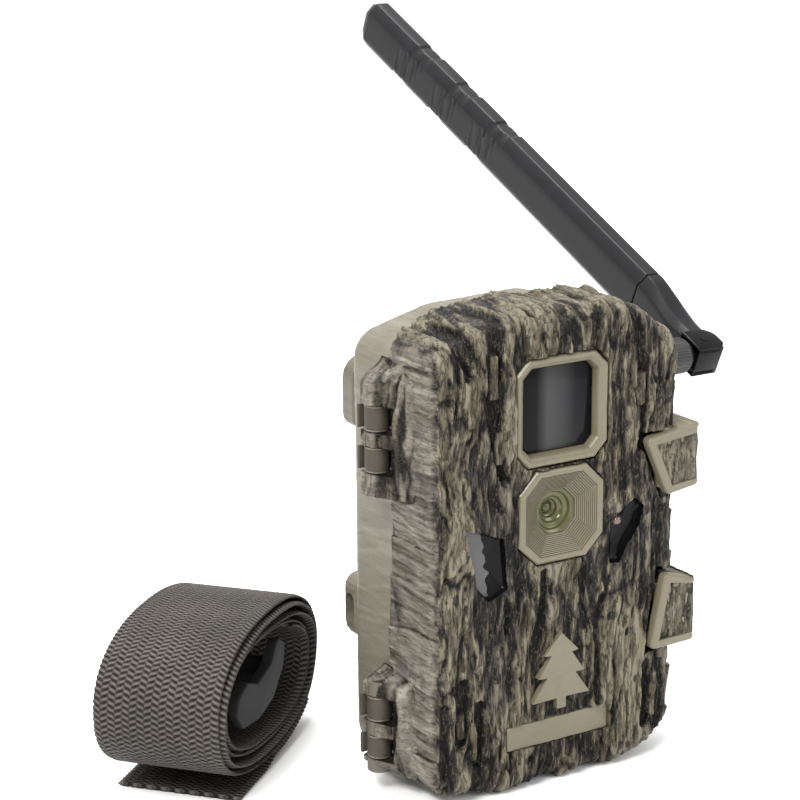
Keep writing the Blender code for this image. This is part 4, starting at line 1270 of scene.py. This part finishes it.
def make_latch(name, latch, looks):
    """Rounded rim round a bark-textured inset, and an arm that wraps back along the case."""
    low = min(z for _, z in latch[2:]) + 0.5
    high = max(z for _, z in latch[2:]) - 0.5
    corners = [(x, z, 1.6 if x < 42 else 0.9) for x, z in latch]
    rim = slab(name + "_rim", rounded(corners, 8), -27.7, -24.2, 0.85, 4, 40)
    inner = np.array(grown(latch, -2.5))
    inner[:, 0] = np.where(inner[:, 0] > 42, LATCH_X + 1.5, inner[:, 0])
    cutter = slab("cutter", inner, -30, -26.7)
    hollow = rim.modifiers.new("hollow", "BOOLEAN")
    hollow.operation, hollow.solver, hollow.object = "DIFFERENCE", "EXACT", cutter
    applied(rim)
    bpy.data.objects.remove(cutter)
    arm = block(name + "_arm", (LATCH_X - 2.7, -25.8, low), (LATCH_X + 0.05, 7.0, high), 0.7, 4)
    flange = [
        block(name + "_flange", (43.9, -27.0, z - 0.2), (LATCH_X + 0.9, 6.6, z + 1.5), 0.7, 4)
        for z in (low - 0.4, high - 1.1)
    ]
    lids = [
        block(name + "_lid", (x, -27.0, z - 0.2), (LATCH_X - 0.2, -18.2, z + 1.4), 0.6, 3)
        for x, z in ((39.5, low - 0.4), (39.5, high - 1.2))
    ]
    barrel = lathe(
        name + "_barrel", [(1.3, low), (2.4, low), (2.4, high), (1.3, high), (1.3, low)], 32,
        place_at(37.0 if latch is UPPER_LATCH else 37.5, -23.6, 0),
    )
    piece = join_pieces(name + "_frame", [rim, arm, *flange, *lids, barrel])
    piece.data.shade_smooth()
    piece.data.set_sharp_from_angle(angle=math.radians(40))
    finish_piece(piece, looks["olive"], name, "olive", name)

    inset = np.array(grown(latch, -2.3))
    left_of = np.array([inset[0], inset[1]])
    levels = np.linspace(inset[:, 1].min(), inset[:, 1].max(), 60)
    in_front, along_side, bark_x = 34, 60, LATCH_X + 0.35
    columns = in_front + along_side
    rows = []
    for z in levels:
        a, b = left_of[np.argsort(left_of[:, 1])]
        share = np.clip((z - a[1]) / (b[1] - a[1]), 0, 1)
        x0 = a[0] + (b[0] - a[0]) * share
        xs = np.concatenate([np.linspace(x0, bark_x, in_front), np.full(along_side, bark_x)])
        ys = np.concatenate([np.full(in_front, -26.9), np.linspace(-26.8, 5.4, along_side)])
        rows.append(xyz(xs, ys, z))
    points = np.concatenate(rows)
    facing = np.zeros_like(points)
    column = np.tile(np.arange(columns), len(levels))
    facing[:, 0] = step(28, 40, column)
    facing[:, 1] = facing[:, 0] - 1
    q = points.copy()
    q[:, 0] = q[:, 0] + q[:, 1] * (column >= in_front)
    folds = fractal(q, (1.7, 60, 9), 601, 3)
    fine = fractal(q, (0.8, 60, 3.0), 611, 2)
    height = 1.2 * (folds - 0.5) + 0.5 * (fine - 0.5)
    points = points + facing * height[:, None]
    bark = mesh_object(name + "_bark", points, grid_faces(len(levels), columns))
    tone = 0.60 + 1.1 * (folds - 0.5) + 0.9 * (fine - 0.5)
    add_values(bark, relief=tone, dark=0.62 * step(0.52, 0.40, folds), side=0.25)
    finish_piece(bark, looks["bark"], name, "bark")


# ---------------------------------------------------------------- antenna


def antenna_frame():
    arm = Vector((0, math.cos(ANT_LEAN), math.sin(ANT_LEAN)))
    across = Vector((1, 0, 0))
    turn = Matrix((across, arm.cross(across), arm)).transposed().to_4x4()
    return Matrix.Translation(Vector((ELBOW_X, 0, ANT_Z)) * MM) @ turn


def blade_section(depth, width, corner, dent=0.0, nick=0.0):
    """Section of the arm: flat faces with a wide bevel on the front edge and a narrow one behind."""
    points = [
        (depth, -width + corner * 1.1), (depth - dent, -width + corner * 2.0),
        (depth - dent, width - corner * 1.5), (depth, width - corner * 0.9),
        (depth * 0.55, width - nick * 0.5), (0.0, width - nick),
    ]
    points += [(-x, y) for x, y in reversed(points[:-1])]
    front = -width + nick * 0.4
    points += [(-depth * 0.45, front), (0, -width + nick), (depth * 0.45, front)]
    return points


def lofted(name, rows):
    """A closed solid through a row of equal rings of points, with flat ends."""
    count = len(rows[0])
    faces = grid_faces(len(rows), count, wrap=True).tolist()
    faces += [list(range(count)), list(range(count * (len(rows) - 1), count * len(rows)))]
    return mesh_object(name, np.array(rows).reshape(-1, 3), faces)


def make_antenna(looks):
    """Knurled nut, paddle blade, neck and elbow; each goes to its own moving body."""
    place = antenna_frame()
    # Knurled nut: straight ridges along the turning axis
    ridges, steps = 36, 360
    profile = [
        (3.3, 0.3), (4.9, 0.0), (5.3, 0.5), (5.5, 0.9), (5.5, 11.0), (5.2, 11.7), (4.6, 12.1),
        (2.9, 12.1), (3.3, 6.0), (3.3, 0.3),
    ]
    rows = []
    for radius, height in profile:
        for k in range(steps):
            angle = 2 * math.pi * k / steps
            tooth = 0.45 * (0.5 + 0.5 * math.cos(ridges * angle)) ** 0.7
            reach = radius - (tooth if radius > 5.25 else 0)
            rows.append((height + 50.1, reach * math.cos(angle), ANT_Z + reach * math.sin(angle)))
    nut = mesh_object("knurled_nut", rows, grid_faces(len(profile), steps, wrap=True))
    tidy_mesh(nut, 55)
    finish_piece(nut, looks["nut"], "sma_nut", "black", "sma_nut")

    # Blade: paired slanting grooves on the outer half, and nicks in both edges beside them
    stations = np.concatenate([np.linspace(30.3, 205.5, 440), np.linspace(205.9, 209, 7)])
    grooves = [121, 127, 147, 153, 173, 179]
    rows = []
    for height in stations:
        tip = step(205.5, 209, height)
        ring = []
        for x, y in blade_section(5.0 - 1.0 * tip, 8.4 - 1.8 * tip, 3.0):
            dip = 0.0
            for centre in grooves:
                slant = height - centre - 0.75 * y
                dip = max(dip, max(0.0, 1 - abs(slant) / 1.15))
            dip = min(1.0, dip * 1.8)
            flat = 0.55 if abs(x) > 2 else 0.0
            nick = 0.0
            for centre in (124, 150, 176):
                nick = max(nick, step(5.2, 4.2, abs(height - centre - 0.75 * y)))
            edge = 0.45 * nick * (1.0 if abs(y) > 6.5 else 0.0)
            x = x - math.copysign(flat * dip, x) if x else 0.0
            ring.append((x, y - math.copysign(edge, y), height))
        rows.append(ring)
    blade = lofted("antenna_paddle", rows)
    blade.data.transform(place)
    bevelled(tidy_mesh(blade, 25), 0.35, 2, 24)
    finish_piece(blade, looks["antenna"], "antenna_arm", "black", "antenna_blade")

    # Neck: from the cap seam it narrows in a hollow curve to the hinge barrel
    rows = []
    for height in np.linspace(5.2, 29.9, 60):
        t = (height - 5.2) / 24.7
        width = 4.5 + 3.9 * step(0.12, 0.98, t)
        depth = 4.5 + 0.5 * step(0.0, 0.4, t)
        rows.append([(x, y, height) for x, y in blade_section(depth, width, 1.3 + 1.7 * t)])
    neck = lofted("antenna_root", rows)
    bevelled(tidy_mesh(neck, 25), 0.35, 2, 24)
    tongue_ring = ring_profile(1.4, 4.3, -2.4, 2.4, 0.3)
    tongue = lathe("antenna_tongue", tongue_ring, 48, place_at(0, 0, 0, "-Y"))
    web = block("antenna_web", (-3.3, -2.35, 1.5), (3.3, 2.35, 8.0), 0.4)
    neck = join_pieces("antenna_root", [neck, tongue, web])
    neck.data.transform(place)
    finish_piece(neck, looks["antenna"], "antenna_arm", "black", "antenna_neck")

    # Elbow: compact fork with rounded cheeks, a chamfered foot and a collar inside the nut
    arc = [(5.1 * math.cos(a * math.pi / 24), 5.1 * math.sin(a * math.pi / 24)) for a in range(13)]
    outline = [(-5.5, -5.1), (3.1, -5.1), (5.1, -3.0)] + arc + [(-5.5, 5.1)]
    cheeks = []
    for low, high in ((-5.1, -2.6), (2.6, 5.1)):
        cheeks.append(slab("cheek", outline, low, high, 0.6, 4, 30))
    foot = block("foot", (-5.4, -4.9, -5.1), (3.8, 4.9, -4.5), 0.25)
    back = block("back", (-5.5, -4.9, -5.0), (-4.7, 4.9, 5.0), 0.3)
    pin_half = [(1.3, 4.9), (1.5, 5.0), (1.5, 5.25), (0, 5.25)]
    pin_profile = [(radius, -height) for radius, height in reversed(pin_half)] + pin_half
    pin = lathe("pin", pin_profile, 40, place_at(0, 0, 0, "Y"))
    fork = join_pieces("antenna_fork", [*cheeks, foot, back, pin])
    fork.data.transform(place)
    collar_profile = [
        (0, 56.4), (2.2, 56.4), (2.4, 56.8), (2.4, 62.3), (3.9, 62.4), (4.1, 62.7), (4.1, 64.2),
        (0, 64.2),
    ]
    collar = lathe("collar", collar_profile, 40, place_at(0, 0, ANT_Z, "X"))
    fork = join_pieces("antenna_fork", [fork, collar])
    finish_piece(fork, looks["elbow"], "antenna_elbow", "black", "antenna_elbow", "elbow_pin")


# ---------------------------------------------------------------- strap


def roll_frame():
    axis = Vector((math.cos(ROLL_TURN), math.sin(ROLL_TURN), 0))
    across = Vector((-axis.y, axis.x, 0))
    turn = Matrix((across, -axis, Vector((0, 0, 1)))).transposed().to_4x4()
    return Matrix.Translation(Vector(ROLL_CENTRE) * MM) @ turn


def roll_path():
    """Middle line of the webbing in the roll's own XZ plane, from its inner end to where the tail begins;
    make_strap adds the tail.
    """
    wide, tall = ROLL_OVAL[0] + 1.0, ROLL_OVAL[1] + 1.6
    pitch, tail_room = 2.15, 1.7
    points = []
    # Ends at the bottom, in front of the middle, so that the tail lies flat on the floor
    last = -math.pi / 2 + math.radians(4)
    steps = 150
    total = int(TURNS * steps)
    for k in range(total + 1):
        left = (total - k) / steps
        angle = last + 2 * math.pi * left
        inward = pitch * left + 0.55 * math.sin(2.3 * angle + 0.6) * min(1, left)
        a, b = wide - inward - 0.75, tall - inward - 0.75
        squash = 0.86
        c, s = math.cos(angle), math.sin(angle)
        x = a * math.copysign(abs(c) ** squash, c)
        z = b * math.copysign(abs(s) ** squash, s)
        tilt = math.radians(-3.0) * min(1, left)
        points.append((x * math.cos(tilt) - z * math.sin(tilt), x * math.sin(tilt) + z * math.cos(tilt)))
    floor = -ROLL_CENTRE[2] + STRAP_THICK / 2 + 0.05
    # Lift the whole spiral clear of the tail that lies under it
    points = [(x, max(z, floor + tail_room)) for x, z in points]
    return points, floor, tail_room


def make_strap(looks):
    """Webbing roll: one closed ribbon wound into a loose oval, with its tail lying under it."""
    place = roll_frame()
    points, floor, tail_room = roll_path()
    start = points[-1]
    tail = [
        (start[0] - t, floor + tail_room * (1 - step(0, 10, t))) for t in np.linspace(0.8, 31.0, 50)
    ]
    line = np.array(points + [(x, float(z)) for x, z in tail])
    total = np.linalg.norm(np.diff(line, axis=0), axis=1).sum()
    # Fine steps along the outer turn and the tail, wider ones inside the roll
    outer = 235.0
    inner_steps, outer_steps = int((total - outer) / 1.7), int(outer / 0.66)
    along = np.concatenate([
        np.linspace(0, total - outer, inner_steps, endpoint=False),
        np.linspace(total - outer, total, outer_steps + 1),
    ])
    travelled = np.concatenate([[0], np.cumsum(np.linalg.norm(np.diff(line, axis=0), axis=1))])
    line = np.stack([np.interp(along, travelled, line[:, axis]) for axis in (0, 1)], axis=1)
    tangent = np.gradient(line, axis=0)
    tangent /= np.linalg.norm(tangent, axis=1, keepdims=True)
    normal = np.stack([-tangent[:, 1], tangent[:, 0]], axis=1)
    across = np.linspace(-STRAP_WIDTH / 2, STRAP_WIDTH / 2, 4 * STRAP_LANES + 1)
    s, w = np.meshgrid(along, across, indexing="ij")
    cell = (w + STRAP_WIDTH / 2) / STRAP_WIDTH * STRAP_LANES
    lane = np.floor(np.clip(cell, 0, STRAP_LANES - 1e-6))
    inside_lane = cell - lane
    slope = (inside_lane - 0.5) * YARN_LEAN * (2 * (lane % 2) - 1)
    yarn = s / YARN_PITCH + slope + 0.5 * (lane % 2)
    hump = np.clip(np.sin(np.pi * (yarn % 1.0)), 0, 1) ** 0.75
    crown = 1 - (1 - hump) * (0.2 + 0.8 * np.clip(np.sin(np.pi * inside_lane), 0, 1))
    border = np.clip((STRAP_WIDTH / 2 - np.abs(w)) / 1.2, 0, 1)
    relief = crown * (0.35 + 0.65 * border)
    scallop = 0.45 * np.abs(np.sin(np.pi * s / YARN_PITCH)) * (1 - border)
    w = w + np.sign(w) * (scallop - 0.2) * (np.abs(w) > STRAP_WIDTH / 2 - 1.3)
    twist = 0.9 * np.sin(s / 95.0) * (s < total - 60)
    w = w + twist
    half = STRAP_THICK / 2
    edge_round = np.sqrt(np.clip(border, 0.12, 1))
    sides = []
    for sign in (1, -1):
        lift = sign * (half - 0.42 + 0.42 * relief) * edge_round
        x = line[:, 0][:, None] + normal[:, 0][:, None] * lift
        z = line[:, 1][:, None] + normal[:, 1][:, None] * lift
        sides.append(xyz(x, w, z))
    rows, columns = s.shape
    points = np.concatenate([side.reshape(-1, 3) for side in sides])
    one = grid_faces(rows, columns)
    two = grid_faces(rows, columns, start=rows * columns)[:, ::-1]
    faces = [*one.tolist(), *two.tolist()]
    shift = rows * columns
    rim = (
        [(r * columns, (r + 1) * columns) for r in range(rows - 1)]
        + [(shift - columns + c, shift - columns + c + 1) for c in range(columns - 1)]
        + [((r + 2) * columns - 1, (r + 1) * columns - 1) for r in range(rows - 1)]
        + [(c + 1, c) for c in range(columns - 1)]
    )
    faces += [(b, a, a + shift, b + shift) for a, b in rim]
    webbing = mesh_object("strap_roll", points, faces)
    add_values(webbing, across=np.tile(cell.ravel(), 2), along=np.tile(s.ravel() / YARN_PITCH, 2))
    tidy_mesh(webbing, 180)
    webbing.data.transform(place)
    finish_piece(webbing, looks["webbing"], "strap", "webbing", "strap_webbing")
    return total


def make_buckle(looks):
    """Cam buckle in the hollow of the roll: two cheeks, a floor and a rounded cam lever."""
    place = roll_frame()
    side, thick = STRAP_WIDTH / 2 - 3, 3.3
    ends = [
        (-20, -2.5, 2), (-15, -8.5, 5), (-2, -10.5, 14), (10, -8.5, 8), (19, -1, 5),
        (20.5, 5.5, 2.4), (14, 9.5, 3), (8.0, 3.2, 2.5), (-3, 1.2, 3), (-11, 4.6, 3), (-18, 2.2, 2),
    ]
    outline = rounded(ends, 8)
    cheeks = [
        slab("cheek", outline, low, high, 0.7, 4, 40)
        for low, high in ((-side, -side + thick), (side - thick, side))
    ]
    floor = [
        (-19, -3, 1), (-14.5, -8.4, 4), (-2, -10.3, 14), (10, -8.3, 8), (18.5, -1.2, 4),
        (17.5, 0.6, 0.6), (9, -6.2, 8), (-2, -8.2, 14), (-13.6, -6.3, 4), (-17.2, -1.8, 0.6),
    ]
    pan = slab("pan", rounded(floor, 6), -side + 0.5, side - 0.5, 0.3, 3, 40)
    body = join_pieces("cam_buckle", [*cheeks, pan])
    body.data.transform(place)
    finish_piece(body, looks["buckle"], "strap", "buckle", "buckle_body")
    reach = side - 3.7
    lever = lathe("cam_lever", ring_profile(1.6, 3.1, -reach, reach, 0.3), 48, place_at(3, 0, -2, "-Y"))
    paddle_corners = [
        (0.6, 0.7, 0.6), (3.0, -4.6, 0.8), (-6, -4.9, 3), (-13.6, -3.2, 0.8), (-13.4, 0.4, 0.8),
        (-6, -0.6, 3),
    ]
    paddle = slab("paddle", rounded(paddle_corners, 6), -reach, reach, 0.5, 3, 40)
    lever = join_pieces("cam_lever", [lever, paddle])
    lever.data.transform(place)
    finish_piece(lever, looks["buckle"], "buckle_lever", "buckle", "buckle_lever")


# ---------------------------------------------------------------- everything


# Look: (material name, colour, roughness, what differs from plain_look's own values)
PLAIN_LOOKS = {
    "olive": (
        "olive_moulding", (0.132, 0.115, 0.074), 0.36,
        {"spread": 0.10, "scale": 700, "depth": 0.00003},
    ),
    # Darker than the housing the barrels belong to: painted shade from the hinge windows round them
    "barrel": (
        "hinge_barrel", (0.052, 0.045, 0.033), 0.5,
        {"spread": 0.10, "scale": 700, "specular": 0.2},
    ),
    "dark_olive": ("inner_moulding", (0.085, 0.075, 0.055), 0.55, {"scale": 500}),
    "antenna": (
        "antenna_plastic", (0.0105, 0.0105, 0.0115), 0.38,
        {"spread": 0.16, "scale": 1500, "depth": 0.00006, "specular": 0.17},
    ),
    "elbow": (
        "elbow_plastic", (0.003, 0.003, 0.0036), 0.20,
        {"spread": 0.15, "scale": 900, "depth": 0.000005, "specular": 0.13},
    ),
    "nut": ("nut_plastic", (0.022, 0.022, 0.023), 0.36, {"spread": 0.15, "scale": 900}),
    "black": (
        "black_plastic", (0.008, 0.008, 0.009), 0.5,
        {"spread": 0.2, "scale": 800, "specular": 0.2},
    ),
    "gloss_black": (
        "gloss_black", (0.003, 0.003, 0.0035), 0.25,
        {"spread": 0.2, "scale": 500, "depth": 0.00001, "specular": 0.12},
    ),
    "rubber": (
        "rubber", (0.022, 0.022, 0.022), 0.75,
        {"spread": 0.2, "scale": 1200, "depth": 0.00005, "specular": 0.3},
    ),
    "steel": (
        "steel", (0.55, 0.55, 0.56), 0.3,
        {"metallic": 1.0, "spread": 0.10, "size": (1, 1, 0.1), "scale": 900},
    ),
    "brass": (
        "brass", (0.72, 0.52, 0.22), 0.28,
        {"metallic": 1.0, "spread": 0.10, "size": (1, 1, 1), "scale": 900},
    ),
    "pir": (
        "sensor_lens", (0.052, 0.050, 0.054), 0.34,
        {"spread": 0.10, "scale": 420, "depth": 0.00003},
    ),
    "lens_ring": (
        "lens_ring", (0.078, 0.077, 0.029), 0.20,
        {"metallic": 0.2, "spread": 0.18, "scale": 300, "depth": 0.00001},
    ),
    "lens_front": (
        "lens_front", (0.055, 0.060, 0.022), 0.06,
        {"spread": 0.18, "scale": 300, "depth": 0.000005},
    ),
    "red": ("red_plastic", (0.55, 0.05, 0.035), 0.4, {"spread": 0.12}),
    "card": ("card_plastic", (0.02, 0.045, 0.22), 0.35, {"spread": 0.14}),
    "white": ("white_plastic", (0.72, 0.72, 0.70), 0.4, {"spread": 0.05}),
    "buckle": (
        "buckle_plastic", (0.022, 0.022, 0.023), 0.60,
        {"spread": 0.14, "scale": 1000, "depth": 0.00004, "specular": 0.10},
    ),
}


def make_looks():
    looks = {
        "bark": bark_look(),
        "wood": wood_look(),
        "webbing": webbing_look(),
        "cell": cell_look(),
        "board": board_look(),
        "screen": screen_look(),
        "dark_window": black_window_look(),
        "clear": glass_look("clear_lamp", (0.60, 0.42, 0.38), 0.06, 0.8),
        "lens": glass_look("lens_glass", (0.62, 0.63, 0.34), 0.02, 0.94, 1.45),
    }
    for key, (name, colour, roughness, changes) in PLAIN_LOOKS.items():
        looks[key] = plain_look(name, colour, roughness, **changes)
    return looks


# Looks of the CAD parts that stay, by the record's material slot
SLOT_LOOKS = {
    "housing": "wood", "bark": "dark_olive", "olive": "olive", "black": "black", "rubber": "rubber",
    "steel": "steel", "brass": "brass", "board": "board", "cell": "cell", "dark_glass": "screen",
    "lens": "lens", "pir": "pir", "clear": "clear", "red": "red", "card": "card", "white": "white",
    "webbing": "webbing", "buckle": "buckle",
}


BLACKENED_PINS = ("latch_upper_pin", "latch_lower_pin")


def dress_cad(looks):
    slots = {part["node"]: part.get("material_slot") for part in frame["record"].get("subparts", [])}
    for name, item in NODES.items():
        look = looks["black" if name in BLACKENED_PINS else SLOT_LOOKS.get(slots.get(name), "black")]
        item.data.materials.clear()
        item.data.materials.append(look)


def make_stage():
    mesh = bpy.data.meshes.new("floor")
    mesh.from_pydata([(-6, -6, 0), (6, -6, 0), (6, 6, 0), (-6, 6, 0)], [], [(0, 1, 2, 3)])
    floor = linked("floor", mesh)
    look, tree, shader = new_look("pale_floor", 0.6)
    fine = grain(tree, (1, 1, 1), 30, 2)
    feed(shader, "Base Color", ramp(fine, (0.3, 0.90), (0.7, 0.93)))
    mesh.materials.append(look)

    world = bpy.data.worlds.new("studio")
    bpy.context.scene.world = world
    world.use_nodes = True
    background = world.node_tree.nodes["Background"]
    feed(background, "Color", (1, 1, 1, 1))
    feed(background, "Strength", 1.0)
    target = Vector((-0.02, 0, 0.07))
    for name, spot, size, power in (
        ("key", (-0.9, -0.55, 1.25), 0.6, 26.0),
        ("fill", (0.9, -1.2, 0.7), 0.7, 7.0),
        ("top", (0.1, 0.5, 1.4), 0.7, 20.0),
    ):
        light = bpy.data.lights.new(name, "AREA")
        light.size = size
        light.energy = power
        lamp = linked(name, light)
        lamp.location = spot
        lamp.rotation_euler = (target - Vector(spot)).to_track_quat("-Z", "Y").to_euler()


def make_picture():
    view = bpy.context.scene.view_settings
    view.view_transform = "Standard"
    view.look = "None"


def make_camera():
    data = bpy.data.cameras.new("camera")
    data.sensor_width = 36
    data.lens = 103.45
    camera = linked("camera", data)
    right = Vector((0.85285, -0.52213, -0.00586))
    up = Vector((0.14297, 0.22272, 0.96434))
    turn = Matrix((right, up, right.cross(up))).transposed().to_4x4()
    camera.matrix_world = Matrix.Translation(Vector((-360.78, -529.45, 285.40)) * MM) @ turn
    bpy.context.scene.camera = camera


looks = make_looks()
dress_cad(looks)
make_cover(looks)
make_knuckles(looks)
make_housing(looks)
make_barrels(looks)
make_frame(looks)
make_plaque(looks)
make_wells(looks)
make_badge(looks)
make_latch("latch_upper", UPPER_LATCH, looks)
make_latch("latch_lower", LOWER_LATCH, looks)
make_antenna(looks)
make_stage()
make_buckle(looks)
make_strap(looks)
make_camera()
make_picture()
